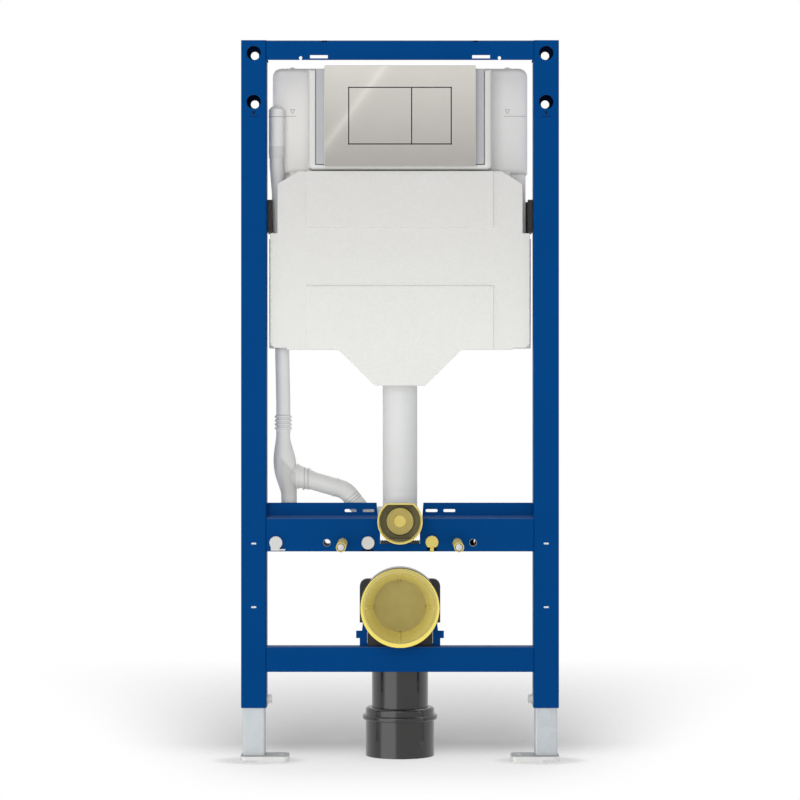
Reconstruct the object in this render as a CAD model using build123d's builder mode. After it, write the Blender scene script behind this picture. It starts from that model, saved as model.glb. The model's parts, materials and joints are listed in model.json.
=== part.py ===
"""A wall-hung toilet frame: a blue steel installation frame on two adjustable legs, with its
concealed cistern, flush plate, flush and waste connections and air extraction line.

Millimetres. +X is right, +Y is back and +Z is up. The origin is on the floor, midway between the
two floor bolts, which stand in line with the middle of the uprights' depth. Depths are measured
back from the uprights' front faces, and most heights up from the underside of the foot plates.
"""

from build123d import *
import math
import os

os.makedirs("parts", exist_ok=True)

# Frame
frame_width = 500.0
frame_height = 1120.0  # above the finished floor
floor_build_up = 15.0  # finished floor above the underside of the foot plates
upright_clearance = 70.0  # from the finished floor to the uprights' lower ends
tube_size = 40.0
tube_wall = 2.0
tube_corner = 3.0
access_hole_radius = 11.25
wall_hole_radius = 6.5
wall_hole_drop = 20.0
wall_hole_spacing = 77.0
mark_slot_length = 8.6
mark_slot_height = 3.0
mark_slot_drop = 1.4

# Rails
top_rail_height = 31.0
top_rail_sheet = 2.5
top_rail_lip = 14.0
middle_rail_bottom = 331.0
middle_rail_face = 53.5
middle_rail_step = 24.0
middle_rail_height = 76.0
middle_rail_return = 30.0
middle_rail_sheet = 3.0
lower_rail_bottom = 141.5
lower_rail_height = 40.0
lower_rail_depth = 30.0
sheet_bend = 4.0

# Legs and feet
leg_size = 35.0
leg_wall = 2.0
leg_length = 320.0
foot_length = 76.0
foot_depth = 52.0
foot_height = 10.0
foot_sheet = 3.0
foot_overhang = 1.0
floor_hole_radius = 5.5
floor_hole_offset = 43.0

# Fixing heights above the finished floor
stud_height = 330.0
waste_height = 230.0
flush_height = 365.0

# Fixings
stud_spacing = 180.0
wide_stud_spacing = 230.0
stud_radius = 6.0
stud_reach = 140.0
sleeve_wall = 1.3
stud_sunk = 0.6  # from the sleeve's end back to the rod's end
bush_radius = 8.0
bush_length = 76.0

# Cistern. The drops are heights below the frame's top
cistern_drop = 37.0
block_drop = 43.5
metre_drop = 120.0
shoulder_drop = 205.0
waist_drop = 303.0
tank_drop = 483.0
outlet_drop = 531.0
upper_tank_gap = 7.0  # between the tank's side and the upright
waist_gap = 9.5
lower_tank_gap = 1.0
tank_front_gap = 36.0
block_front = 4.0
pocket_depth = 9.0
tank_front = 24.0
side_front = 57.0
groove_front = 70.0
cistern_back = 120.0
cistern_wall = 4.0
tank_rounding = 8.0
block_half_width = 144.6
block_gap = 2.0  # between the raised block and the insulation cover
sump_half_width = 97.0
outlet_half_width = 42.0
service_width = 200.0
service_height = 126.0
inlet_x = 120.0
inlet_drop = 90.0
inlet_radius = 10.5
inlet_length = 22.0

# Insulation cover
cover_drop = 486.5
cover_foot_drop = 543.0
band_top_drop = 294.0
band_bottom_drop = 386.0
insulation_front = 4.0
insulation_relief = 2.5
cover_gap = 5.5
cover_waist_gap = 16.7
cover_shoulder_gap = 50.0
panel_half_width = 147.0

# Flush plate
plate_width = 238.0
plate_height = 158.0
plate_front = -12.0
plate_wall = 2.0
plate_frame_width = 264.0
plate_frame_height = 149.0
plate_frame_front = 3.0
key_field_width = 162.0
key_field_height = 90.0
key_divider = 18.3
key_gap = 1.3
key_thickness = 4.0
key_travel = 3.5

# Flush line
flush_axis_back = 70.0
flush_radius = 27.5
flush_bore = 22.5
flush_mouth = -24.0

# Waste line
waste_axis_back = 88.0
waste_radius = 45.0
waste_wall = 3.5
waste_bend_radius = 50.0
socket_radius = 62.4
socket_bore = 55.0
socket_length = 42.0
adapter_radius = 55.0
adapter_height = 78.0
adapter_bead = 5.0
adapter_bead_height = 62.0

# Air extraction line
vent_back = 44.0
vent_radius = 11.2
vent_wall = 1.8
cap_gap = 14.0  # between the cap's axis and the upright
cap_drop = 182.0
cap_radius = 12.4
cap_height = 82.0
pipe_gap = 24.6
pipe_bottom_z = 546.0

fit = 0.3  # running gap between a piece and its seat

front = -tube_size / 2
frame_top = floor_build_up + frame_height
upright_length = frame_height - upright_clearance
frame_bottom = frame_top - upright_length
upright_x = frame_width / 2 - tube_size / 2
inner_x = frame_width / 2 - tube_size
stud_z = floor_build_up + stud_height
waste_z = floor_build_up + waste_height
flush_z = floor_build_up + flush_height
mark_z = frame_top - metre_drop
lug_x, lug_radius = 171.5, 8.0
SIDES = {"left": -1, "right": 1}


def save(piece, name):
    piece.label = name
    export_step(piece, f"parts/{name}.step")


def at_depth(depth):
    """A sketch plane that faces the front. A negative amount extrudes to the back."""
    return Plane.XZ.offset(-front - depth)


def across(x):
    """A sketch plane across the frame. Its own x is the depth and its own y the height."""
    return Plane(origin=(x, front, 0), x_dir=(0, 1, 0), z_dir=(1, 0, 0))


def at_height(z):
    """A level sketch plane. Its own x runs across the frame and its own y is the depth."""
    return Plane(origin=(0, front, z), z_dir=(0, 0, 1))


def folded_strip(points, thickness, radius):
    """A folded sheet's section. Its outer side follows the points; the sheet lies to their left."""
    with BuildSketch(mode=Mode.PRIVATE) as strip:
        with BuildLine():
            FilletPolyline(*points, radius=radius)
            offset(amount=thickness, side=Side.LEFT)
        make_face()
    return strip.sketch


# Uprights: square tubes with access holes in front and wall-screw holes behind them
wall_hole_heights = [frame_top - wall_hole_drop, frame_top - wall_hole_drop - wall_hole_spacing]
mark_slot_heights = [stud_z - mark_slot_drop, waste_z - mark_slot_drop]
clamp_z = frame_bottom + 12.5
clamp_shank = 4.0

for side_name, side in SIDES.items():
    x = side * upright_x
    with BuildPart() as upright:
        with BuildSketch(at_height(frame_bottom)):
            with Locations((x, tube_size / 2)):
                RectangleRounded(tube_size, tube_size, tube_corner)
                inner = tube_size - 2 * tube_wall
                RectangleRounded(inner, inner, tube_corner - tube_wall, mode=Mode.SUBTRACT)
        extrude(amount=upright_length)
        with BuildSketch(at_depth(0)):
            with Locations(*[(x, z) for z in wall_hole_heights]):
                Circle(access_hole_radius)
        extrude(amount=-tube_size / 2, mode=Mode.SUBTRACT)
        with BuildSketch(at_depth(tube_size)):
            with Locations(*[(x, z) for z in wall_hole_heights]):
                Circle(wall_hole_radius)
        extrude(amount=tube_size / 2, mode=Mode.SUBTRACT)
        with BuildSketch(at_depth(0)):
            with Locations(*[(x, z) for z in mark_slot_heights]):
                SlotOverall(mark_slot_length, mark_slot_height)
        extrude(amount=-tube_size, mode=Mode.SUBTRACT)
        with BuildSketch(across(side * inner_x)):
            with Locations((tube_size / 2, clamp_z)):
                Circle(clamp_shank + fit)
        extrude(amount=side * tube_size / 2, mode=Mode.SUBTRACT)
    save(upright.part, f"{side_name}_upright")

# Top rail: a folded channel with slots, keyhole notches and tooling holes
slot_x, slot_z = 127.5, frame_top - 26.0
notch_x, notch_z = 156.3, frame_top - 27.8
tool_x = 119.6
with BuildPart() as top_rail:
    with BuildSketch(across(-inner_x)):
        add(
            folded_strip(
                [
                    (tube_size, frame_top - top_rail_lip),
                    (tube_size, frame_top),
                    (0, frame_top),
                    (0, frame_top - top_rail_height),
                ],
                top_rail_sheet,
                sheet_bend,
            )
        )
    extrude(amount=2 * inner_x)
    with BuildSketch(at_depth(0)):
        with Locations((-slot_x, slot_z), (slot_x, slot_z)):
            Rectangle(28, 5.2)
        with Locations((-notch_x, notch_z), (notch_x, notch_z)):
            Circle(2.6)
        with Locations((-notch_x, notch_z - 5), (notch_x, notch_z - 5)):
            Rectangle(3, 10)
    extrude(amount=-tube_size / 2, mode=Mode.SUBTRACT)
    with BuildSketch(at_height(frame_top)):
        with Locations((-tool_x, 3), (tool_x, 3)):
            Circle(4.8)
    extrude(amount=-3, mode=Mode.SUBTRACT)
save(top_rail.part, "top_rail")

# Middle rail: the folded rail that carries the toilet, notched for the flush bend
rail_step_z = middle_rail_bottom + middle_rail_face
rail_top_z = middle_rail_bottom + middle_rail_height
notch_half, notch_half_top = 31.2, 37.0
notch_floor = stud_z - 1.5
with BuildPart() as middle_rail:
    with BuildSketch(across(-inner_x)):
        add(
            folded_strip(
                [
                    (middle_rail_step, rail_top_z),
                    (middle_rail_step, rail_step_z),
                    (0, rail_step_z),
                    (0, middle_rail_bottom),
                    (middle_rail_return, middle_rail_bottom),
                ],
                middle_rail_sheet,
                sheet_bend,
            )
        )
    extrude(amount=2 * inner_x)
    with BuildSketch(at_depth(-1)):
        with BuildLine():
            Polyline(
                (-notch_half, notch_floor),
                (notch_half, notch_floor),
                (notch_half, rail_step_z - 12),
                (notch_half + 4, rail_step_z),
                (notch_half_top, rail_top_z + 1),
                (-notch_half_top, rail_top_z + 1),
                (-notch_half - 4, rail_step_z),
                (-notch_half, rail_step_z - 12),
                close=True,
            )
        make_face()
    extrude(amount=-(middle_rail_step + 10), mode=Mode.SUBTRACT)
    with BuildSketch(at_depth(0)):
        with Locations((-stud_spacing / 2, stud_z), (stud_spacing / 2, stud_z)):
            Circle(stud_radius + 0.5)
        with Locations((-wide_stud_spacing / 2, stud_z), (wide_stud_spacing / 2, stud_z)):
            Circle(stud_radius)
    extrude(amount=-middle_rail_step / 2, mode=Mode.SUBTRACT)
    with BuildSketch(at_depth(middle_rail_step - 1)):
        with Locations(*[(s * cx, rail_step_z + 10) for s in (-1, 1) for cx in (50, 78)]):
            SlotOverall(19, 4.6)
    extrude(amount=-(middle_rail_sheet + 2), mode=Mode.SUBTRACT)
save(middle_rail.part, "middle_rail")

# Lower rail: a rectangular tube with four tooling holes in its top wall
with BuildPart() as lower_rail:
    with BuildSketch(across(-inner_x)):
        with Locations((lower_rail_depth / 2, lower_rail_bottom + lower_rail_height / 2)):
            RectangleRounded(lower_rail_depth, lower_rail_height, tube_corner)
            RectangleRounded(
                lower_rail_depth - 2 * tube_wall,
                lower_rail_height - 2 * tube_wall,
                tube_corner - tube_wall,
                mode=Mode.SUBTRACT,
            )
    extrude(amount=2 * inner_x)
    with BuildSketch(at_height(lower_rail_bottom + lower_rail_height)):
        with Locations(*[(s * cx, lower_rail_depth / 2) for s in (-1, 1) for cx in (102.3, 140.4)]):
            Circle(3)
    extrude(amount=-lower_rail_height / 2, mode=Mode.SUBTRACT)
save(lower_rail.part, "lower_rail")

# Legs, foot plates and their bolts
swivel_bolt_radius = 4.0
swivel_head = 5.5
bolt_head_width = 13.0
for side_name, side in SIDES.items():
    x = side * upright_x
    with BuildPart() as leg:
        with BuildSketch(at_height(foot_height)):
            with Locations((x, tube_size / 2)):
                RectangleRounded(leg_size, leg_size, tube_corner)
        extrude(amount=leg_length)
        with BuildSketch(at_height(foot_height + foot_sheet)):
            with Locations((x, tube_size / 2)):
                inner = leg_size - 2 * leg_wall
                RectangleRounded(inner, inner, tube_corner - leg_wall)
        extrude(amount=leg_length, mode=Mode.SUBTRACT)
        with BuildSketch(at_height(foot_height)):
            with Locations((x, tube_size / 2)):
                Circle(swivel_bolt_radius + 0.1)
        extrude(amount=foot_sheet, mode=Mode.SUBTRACT)
    save(leg.part, f"{side_name}_leg")

    # The foot plate is a pressed tray, open side down, with a shorter rim under the leg and
    # a collar drawn down to the floor round the bolt hole
    outer_x = side * (frame_width / 2 + foot_overhang)
    foot_x = outer_x - side * foot_length / 2
    hole_x = x - side * floor_hole_offset
    with BuildPart() as foot:
        with BuildSketch(at_height(0)):
            with Locations((foot_x, tube_size / 2)):
                RectangleRounded(foot_length, foot_depth, 9)
        extrude(amount=foot_height)
        fillet(foot.faces().sort_by(Axis.Z)[-1].edges(), 2)
        with BuildSketch(at_height(0)):
            with Locations((foot_x, tube_size / 2)):
                RectangleRounded(foot_length - 2 * foot_sheet, foot_depth - 2 * foot_sheet, 6)
        extrude(amount=foot_height - foot_sheet, mode=Mode.SUBTRACT)
        with BuildSketch(at_height(0)):
            with Locations((outer_x - side * 13, tube_size / 2)):
                Rectangle(26, foot_depth)
        extrude(amount=3.2, mode=Mode.SUBTRACT)
        with BuildSketch(at_height(0)):
            with Locations((hole_x, tube_size / 2)):
                Circle(floor_hole_radius + foot_sheet)
        extrude(amount=foot_height)
        with BuildSketch(at_height(0)):
            with Locations((x, tube_size / 2)):
                Circle(swivel_bolt_radius + 0.1)
            with Locations((hole_x, tube_size / 2)):
                Circle(floor_hole_radius)
        extrude(amount=foot_height, mode=Mode.SUBTRACT)
    save(foot.part, f"{side_name}_foot_plate")

    with BuildPart() as swivel_bolt:
        with BuildSketch(at_height(foot_height - foot_sheet - swivel_head)):
            with Locations((x, tube_size / 2)):
                RegularPolygon(bolt_head_width / 2, 6, major_radius=False)
        extrude(amount=swivel_head)
        with BuildSketch(at_height(foot_height - foot_sheet)):
            with Locations((x, tube_size / 2)):
                Circle(swivel_bolt_radius)
        extrude(amount=foot_sheet + foot_sheet + 6)
    save(swivel_bolt.part, f"{side_name}_swivel_bolt")

    with BuildPart() as clamp_bolt:
        with BuildSketch(across(side * inner_x)):
            with Locations((tube_size / 2, clamp_z)):
                Circle(8)
        extrude(amount=-side * 2.5)
        with BuildSketch(across(side * (inner_x - 2.5))):
            with Locations((tube_size / 2, clamp_z)):
                RegularPolygon(bolt_head_width / 2, 6, major_radius=False)
        extrude(amount=-side * swivel_head)
        with BuildSketch(across(side * inner_x)):
            with Locations((tube_size / 2, clamp_z)):
                Circle(clamp_shank)
        extrude(amount=side * (tube_wall + 0.2))
    save(clamp_bolt.part, f"{side_name}_clamp_bolt")

# Toilet fixings: nut plates behind the middle rail, threaded rods and their sleeves
nut_plate_thickness = 8.0
for side_name, side in SIDES.items():
    x = side * stud_spacing / 2
    wide_x = side * wide_stud_spacing / 2
    with BuildPart() as nut_plate:
        with BuildSketch(at_depth(middle_rail_sheet)):
            with Locations(((x + wide_x) / 2, stud_z)):
                RectangleRounded(48, 17, 3)
            with Locations((x, stud_z)):
                Circle(stud_radius + 0.2, mode=Mode.SUBTRACT)
            with Locations((wide_x, stud_z)):
                Circle(stud_radius - 0.9, mode=Mode.SUBTRACT)
        extrude(amount=-nut_plate_thickness)
        with BuildSketch(at_depth(middle_rail_sheet)):
            with Locations((wide_x, stud_z)):
                Circle(bush_radius)
                Circle(stud_radius - 0.9, mode=Mode.SUBTRACT)
        extrude(amount=-bush_length)
    save(nut_plate.part, f"{side_name}_nut_plate")

    with BuildPart() as stud:
        with BuildSketch(at_depth(middle_rail_sheet + nut_plate_thickness + 12)):
            with Locations((x, stud_z)):
                Circle(stud_radius)
        extrude(amount=middle_rail_sheet + nut_plate_thickness + 12 + stud_reach - stud_sunk)
        chamfer(stud.faces().sort_by(Axis.Y)[0].edges(), 1.2)
    save(stud.part, f"{side_name}_stud")

    with BuildPart() as sleeve:
        with BuildSketch(at_depth(0)):
            with Locations((x, stud_z)):
                Circle(stud_radius + 0.2 + sleeve_wall)
                Circle(stud_radius + 0.2, mode=Mode.SUBTRACT)
        extrude(amount=stud_reach)
    save(sleeve.part, f"{side_name}_stud_sleeve")

# Push-in plugs and the yellow locking knob on the middle rail
plug_radius = 10.2
end_plug_x = 15 - inner_x
button_x = 50.2
with BuildPart() as end_plug:
    with BuildSketch(at_depth(0)):
        with Locations((end_plug_x, stud_z)):
            Circle(plug_radius)
        with Locations((end_plug_x - 1, stud_z - 9.5)):
            Rectangle(14, 6)
    extrude(amount=5)
    with BuildSketch(at_depth(0)):
        with Locations((end_plug_x + plug_radius, stud_z - 11)):
            Rectangle(9, 2.4)
    extrude(amount=3)
    fillet(end_plug.faces().filter_by(GeomType.PLANE).sort_by(Axis.Y)[0].edges(), 1)
save(end_plug.part, "grey_end_plug")

with BuildPart() as button:
    with BuildSketch(at_depth(0)):
        with Locations((-button_x, stud_z)):
            Circle(plug_radius)
    extrude(amount=9)
    fillet(button.faces().sort_by(Axis.Y)[0].edges(), 1.2)
save(button.part, "grey_button")

with BuildPart() as knob:
    with BuildSketch(at_depth(0)):
        with Locations((button_x, stud_z + 1)):
            Circle(plug_radius)
        with Locations((button_x, stud_z - 16)):
            Rectangle(24, 18, mode=Mode.SUBTRACT)
    extrude(amount=9)
    fillet(knob.faces().sort_by(Axis.Y)[0].edges(), 1.0)
    with BuildSketch(at_depth(0)):
        with Locations((button_x, stud_z - 10.5)):
            Rectangle(5.6, 8)
    extrude(amount=5)
save(knob.part, "yellow_knob")

# Cistern: a blow-moulded tank, hollow, with a raised block round its service opening
cistern_top_z = frame_top - cistern_drop
block_top_z = frame_top - block_drop
shoulder_z = frame_top - shoulder_drop
waist_z = frame_top - waist_drop
tank_bottom_z = frame_top - tank_drop
outlet_z = frame_top - outlet_drop
inlet_z = frame_top - inlet_drop
block_bottom_z = shoulder_z + block_gap
upper_half_width = inner_x - upper_tank_gap
waist_half_width = inner_x - waist_gap
lower_half_width = inner_x - lower_tank_gap
front_half_width = inner_x - tank_front_gap


def upright_face(corners):
    """A sketch with this outline and its mirror image, in the frame's front view."""
    with BuildSketch(mode=Mode.PRIVATE) as face:
        with BuildLine():
            Polyline((0, corners[0][1]), *corners, (0, corners[-1][1]), close=True)
        make_face()
        mirror(about=Plane.YZ)
    return face.sketch


def tank_solid(inset, rounding):
    """The tank as a block, moved inwards all round by the inset: back, sides, front and block."""
    back = [
        (outlet_half_width - inset / 2, outlet_z + inset),
        (sump_half_width - inset / 2, tank_bottom_z + inset),
        (lower_half_width - inset, tank_bottom_z + inset),
        (lower_half_width - inset, waist_z - 6 - inset),
        (waist_half_width - inset, waist_z - inset),
        (waist_half_width - inset, shoulder_z + inset),
        (upper_half_width - inset, shoulder_z + inset),
        (upper_half_width - inset, cistern_top_z - inset),
    ]
    sides = [
        (upper_half_width - inset, shoulder_z + inset),
        (upper_half_width - inset, cistern_top_z - inset),
    ]
    lower_front = [
        (outlet_half_width - inset / 2, outlet_z + inset),
        (sump_half_width - inset / 2, tank_bottom_z + inset),
        (front_half_width - inset, tank_bottom_z + inset),
        (front_half_width - inset, shoulder_z - inset),
    ]
    block = [
        (block_half_width - inset, block_bottom_z + inset),
        (block_half_width - inset, block_top_z - inset),
    ]
    with BuildPart(mode=Mode.PRIVATE) as body:
        with BuildSketch(at_depth(groove_front + inset)):
            add(upright_face(back))
        extrude(amount=-(cistern_back - groove_front - 2 * inset))
        with BuildSketch(at_depth(side_front + inset)):
            add(upright_face(sides))
        extrude(amount=-(groove_front - side_front + 1))
        if rounding:
            top_corners = body.edges().filter_by(Axis.Y).group_by(Axis.Z)[-1]
            fillet(top_corners, 14)
            face = body.faces().filter_by(Axis.Y).sort_by(Axis.Y)[0]
            fillet(face.edges(), rounding)
        with BuildSketch(at_depth(tank_front + inset)):
            add(upright_face(lower_front))
        extrude(amount=-(groove_front - tank_front + 1))
        with BuildSketch(at_depth(block_front + inset)):
            add(upright_face(block))
        extrude(amount=-(side_front - block_front + 1))
        if rounding:
            face = body.faces().filter_by(Axis.Y).sort_by(Axis.Y)[0]
            bottom_corners = body.edges().filter_by(Axis.Y).filter_by(
                lambda e: abs(e.center().Z - block_bottom_z) < 0.1
            )
            fillet(bottom_corners, rounding)
            face = body.faces().filter_by(Axis.Y).sort_by(Axis.Y)[0]
            fillet(face.edges(), rounding)
    return body.part


pocket_floor = block_front + pocket_depth
pocket_half_width = plate_frame_width / 2 + 1.6
pocket_bottom_z = mark_z - plate_frame_height / 2 - 1.6
with BuildPart() as tank:
    add(tank_solid(0, tank_rounding))
    with BuildPart(mode=Mode.PRIVATE) as cavity:
        add(tank_solid(cistern_wall, 0))
        with BuildSketch(at_depth(block_front)):
            with Locations((0, mark_z)):
                Rectangle(2 * block_half_width, 2 * plate_frame_height)
        extrude(amount=-(pocket_depth + cistern_wall), mode=Mode.SUBTRACT)
    add(cavity.part, mode=Mode.SUBTRACT)
    with BuildSketch(at_depth(block_front)):
        with Locations((0, (pocket_bottom_z + block_top_z + 20) / 2)):
            Rectangle(2 * pocket_half_width, block_top_z + 20 - pocket_bottom_z)
    extrude(amount=-pocket_depth, mode=Mode.SUBTRACT)
    with BuildSketch(at_depth(block_front)):
        with Locations((0, mark_z)):
            RectangleRounded(service_width, service_height, 8)
    extrude(amount=-(pocket_depth + 2 * cistern_wall), mode=Mode.SUBTRACT)
    with BuildSketch(at_height(outlet_z)):
        with Locations((0, flush_axis_back)):
            Circle(flush_radius + fit)
    extrude(amount=2 * cistern_wall, mode=Mode.SUBTRACT)
    with BuildSketch(at_depth(cistern_back)):
        with Locations((inlet_x, inlet_z)):
            Circle(inlet_radius + fit)
    extrude(amount=2 * cistern_wall, mode=Mode.SUBTRACT)
    with BuildSketch(at_depth(side_front + tank_rounding)):
        with Locations((-lug_x, cistern_top_z - 6), (lug_x, cistern_top_z - 6)):
            Circle(lug_radius)
        with Locations((0, cistern_top_z - 20 - cistern_wall / 2)):
            Rectangle(4 * lug_x, 40, mode=Mode.SUBTRACT)
    extrude(amount=-30)
save(tank.part, "cistern_tank")

with BuildPart() as inlet:
    with BuildSketch(at_depth(cistern_back - cistern_wall)):
        with Locations((inlet_x, inlet_z)):
            Circle(inlet_radius)
            Circle(inlet_radius - 3, mode=Mode.SUBTRACT)
    extrude(amount=-inlet_length)
    with BuildSketch(at_depth(cistern_back)):
        with Locations((inlet_x, inlet_z)):
            RegularPolygon(inlet_radius + 3, 6, major_radius=False)
            Circle(inlet_radius, mode=Mode.SUBTRACT)
    extrude(amount=-6)
save(inlet.part, "water_inlet")

# Insulation cover: a foam shell on the tank's lower front, with raised panels
cover_foot_z = frame_top - cover_drop
cover_bottom_z = frame_top - cover_foot_drop
band_top_z = frame_top - band_top_drop
band_bottom_z = frame_top - band_bottom_drop
cover_half_width = inner_x - cover_gap
cover_waist = inner_x - cover_waist_gap
cover_shoulder = inner_x - cover_shoulder_gap
cover_outline = [
    (outlet_half_width - 3, cover_bottom_z),
    (outlet_half_width, cover_bottom_z + 2),
    (sump_half_width, cover_foot_z),
    (cover_half_width - 9, cover_foot_z),
    (cover_half_width, cover_foot_z + 9),
    (cover_half_width, waist_z),
    (cover_waist, waist_z),
    (cover_waist, shoulder_z - 20.5),
    (cover_shoulder, shoulder_z),
]
pipe_notch_x = inner_x - 20
with BuildPart() as cover:
    with BuildSketch(at_depth(insulation_front + insulation_relief)):
        add(upright_face(cover_outline))
        with Locations((-pipe_notch_x, cover_foot_z), (pipe_notch_x, cover_foot_z)):
            Rectangle(2 * vent_radius, 6, mode=Mode.SUBTRACT)
    extrude(amount=-(tank_front - insulation_front - insulation_relief))
    for low, high in ((cover_bottom_z, band_bottom_z), (band_top_z, shoulder_z)):
        with BuildSketch(at_depth(insulation_front)):
            add(upright_face(cover_outline))
            with Locations((0, (low + high) / 2)):
                Rectangle(2 * panel_half_width, high - low, mode=Mode.INTERSECT)
        extrude(amount=-insulation_relief)
save(cover.part, "insulation_cover")

# Clips that hold the cistern to the uprights
clip_bottom_z, clip_height = waist_z + 2.5, 51.0
clip_front, clip_tab = tank_front - 6, 8.0
clip_body, clip_hook = 6.3, waist_gap - fit
for side_name, side in SIDES.items():
    clip_layers = [
        (clip_front, insulation_front + 26 - clip_front, clip_tab),
        (clip_front, side_front - clip_front, clip_body),
        (groove_front, 10, clip_hook),
        (side_front, groove_front - side_front, clip_body),
    ]
    with BuildPart() as clip:
        for depth, length, width in clip_layers:
            with BuildSketch(at_depth(depth)):
                with Locations((side * (inner_x - width / 2), clip_bottom_z + clip_height / 2)):
                    Rectangle(width, clip_height)
            extrude(amount=-length)
        with BuildSketch(at_depth(clip_front - 3)):
            for z in (clip_bottom_z + 12, clip_bottom_z + clip_height - 12):
                with Locations((side * (inner_x - clip_tab / 2), z)):
                    RectangleRounded(5.5, 12, 1.5)
        extrude(amount=-3)
    save(clip.part, f"{side_name}_cistern_clip")

# Flush plate: a back frame in the block's pocket, a plate over it and two keys in the plate
shaft_width, shaft_height = 120.0, 60.0
guide_radius = 3.0
guide_inset = 8.0
key_left = -key_field_width / 2 + key_gap
key_right = key_field_width / 2 - key_gap
key_height = key_field_height - 2 * key_gap
guide_z = (mark_z - key_height / 2 + guide_inset - 2, mark_z + key_height / 2 - guide_inset + 2)
keys = {
    "full_flush_key": (key_left, key_divider - key_gap / 2),
    "half_flush_key": (key_divider + key_gap / 2, key_right),
}

with BuildPart() as plate_frame:
    with BuildSketch(at_depth(plate_frame_front)):
        with Locations((0, mark_z)):
            RectangleRounded(plate_frame_width, plate_frame_height, 3)
            RectangleRounded(shaft_width, shaft_height, 5, mode=Mode.SUBTRACT)
        for low, high in keys.values():
            with Locations(*[(x, z) for x in (low + guide_inset, high - guide_inset) for z in guide_z]):
                Circle(guide_radius + 0.25, mode=Mode.SUBTRACT)
    extrude(amount=-(pocket_floor - plate_frame_front))
save(plate_frame.part, "plate_frame")

plate_depth = plate_frame_front - plate_front
with BuildPart() as plate:
    with BuildSketch(at_depth(plate_front)):
        with Locations((0, mark_z)):
            RectangleRounded(plate_width, plate_height, 3)
    extrude(amount=-plate_depth)
    fillet(plate.faces().sort_by(Axis.Y)[0].edges(), 0.8)
    with BuildSketch(at_depth(plate_front + plate_wall)):
        with Locations((0, mark_z)):
            RectangleRounded(plate_width - 2 * plate_wall, plate_height - 2 * plate_wall, 2)
    extrude(amount=-plate_depth, mode=Mode.SUBTRACT)
    with BuildSketch(at_depth(plate_front)):
        with Locations((0, mark_z)):
            RectangleRounded(key_field_width, key_field_height, 0.8)
    extrude(amount=-plate_depth, mode=Mode.SUBTRACT)
save(plate.part, "flush_plate")

for name, (low, high) in keys.items():
    with BuildPart() as key:
        with BuildSketch(at_depth(plate_front)):
            with Locations(((low + high) / 2, mark_z)):
                RectangleRounded(high - low, key_height, 0.6)
        extrude(amount=-key_thickness)
        fillet(key.faces().sort_by(Axis.Y)[0].edges(), 0.4)
        with BuildSketch(at_depth(plate_front + key_thickness)):
            with Locations(*[(x, z) for x in (low + guide_inset, high - guide_inset) for z in guide_z]):
                Circle(guide_radius)
        extrude(amount=-(pocket_floor - key_travel - 0.5 - plate_front - key_thickness))
    save(key.part, name)

# Flush pipe from the tank down to the flush bend, then out to the toilet
flush_bend_radius = 44.0
port_x, port_z, port_radius = -36.0, flush_z + 4, 16.5
flush_pipe_bottom_z = flush_z + flush_bend_radius + 2
with BuildPart() as flush_pipe:
    with BuildSketch(at_height(flush_pipe_bottom_z)):
        with Locations((0, flush_axis_back)):
            Circle(flush_radius)
            Circle(flush_bore, mode=Mode.SUBTRACT)
    extrude(amount=outlet_z + 2 * cistern_wall - flush_pipe_bottom_z)
save(flush_pipe.part, "flush_pipe")


def bend_path(mouth, axis_back, radius, axis_z, foot_z):
    """From a mouth facing the front, back, and round a bend to a vertical leg at depth axis_back."""
    with BuildLine(across(0)) as path:
        level = Line((mouth, axis_z), (axis_back - radius, axis_z))
        turn = 1 if foot_z > axis_z else -1
        end = (axis_back, axis_z + turn * radius)
        bend = TangentArc(level @ 1, end, tangent=level % 1)
        Line(bend @ 1, (axis_back, foot_z))
    return path.line


with BuildPart() as flush_bend:
    with BuildLine():
        add(bend_path(flush_mouth, flush_axis_back, flush_bend_radius, flush_z, flush_pipe_bottom_z))
    with BuildSketch(at_depth(flush_mouth)):
        with Locations((0, flush_z)):
            Circle(flush_radius)
    sweep()
    with BuildLine():
        add(bend_path(flush_mouth, flush_axis_back, flush_bend_radius, flush_z, flush_pipe_bottom_z))
    with BuildSketch(at_depth(flush_mouth)):
        with Locations((0, flush_z)):
            Circle(flush_bore)
    sweep(mode=Mode.SUBTRACT)
    with BuildSketch(Plane(origin=(-flush_bore - 1, front + vent_back, port_z), z_dir=(-1, 0, 0))):
        Circle(port_radius)
    extrude(amount=-port_x - flush_bore - 1)
save(flush_bend.part, "flush_bend")

# Black clip that carries the flush bend in the middle rail's notch
clip_ring = 3.4
clip_foot = 5.0
with BuildPart() as flush_clip:
    with BuildSketch(at_depth(-1)):
        with Locations((0, flush_z)):
            Circle(flush_radius + clip_ring)
        with Locations((0, flush_z + flush_radius)):
            Rectangle(4 * flush_radius, 2 * flush_radius, mode=Mode.SUBTRACT)
        with Locations((0, (notch_floor + flush_z - flush_radius) / 2)):
            Rectangle(34, flush_z - flush_radius - notch_floor)
        with Locations((0, notch_floor + clip_foot / 2)):
            Rectangle(2 * (notch_half - fit), clip_foot)
        with Locations((0, flush_z)):
            Circle(flush_radius + fit, mode=Mode.SUBTRACT)
    extrude(amount=-18)
    with BuildSketch(at_depth(-1)):
        with Locations(*[(s * x, notch_floor + clip_foot) for s in (-1, 1) for x in (20, 23, 26, 29)]):
            Rectangle(1.5, 2)
    extrude(amount=-20, mode=Mode.SUBTRACT)
save(flush_clip.part, "flush_bend_clip")

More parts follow.
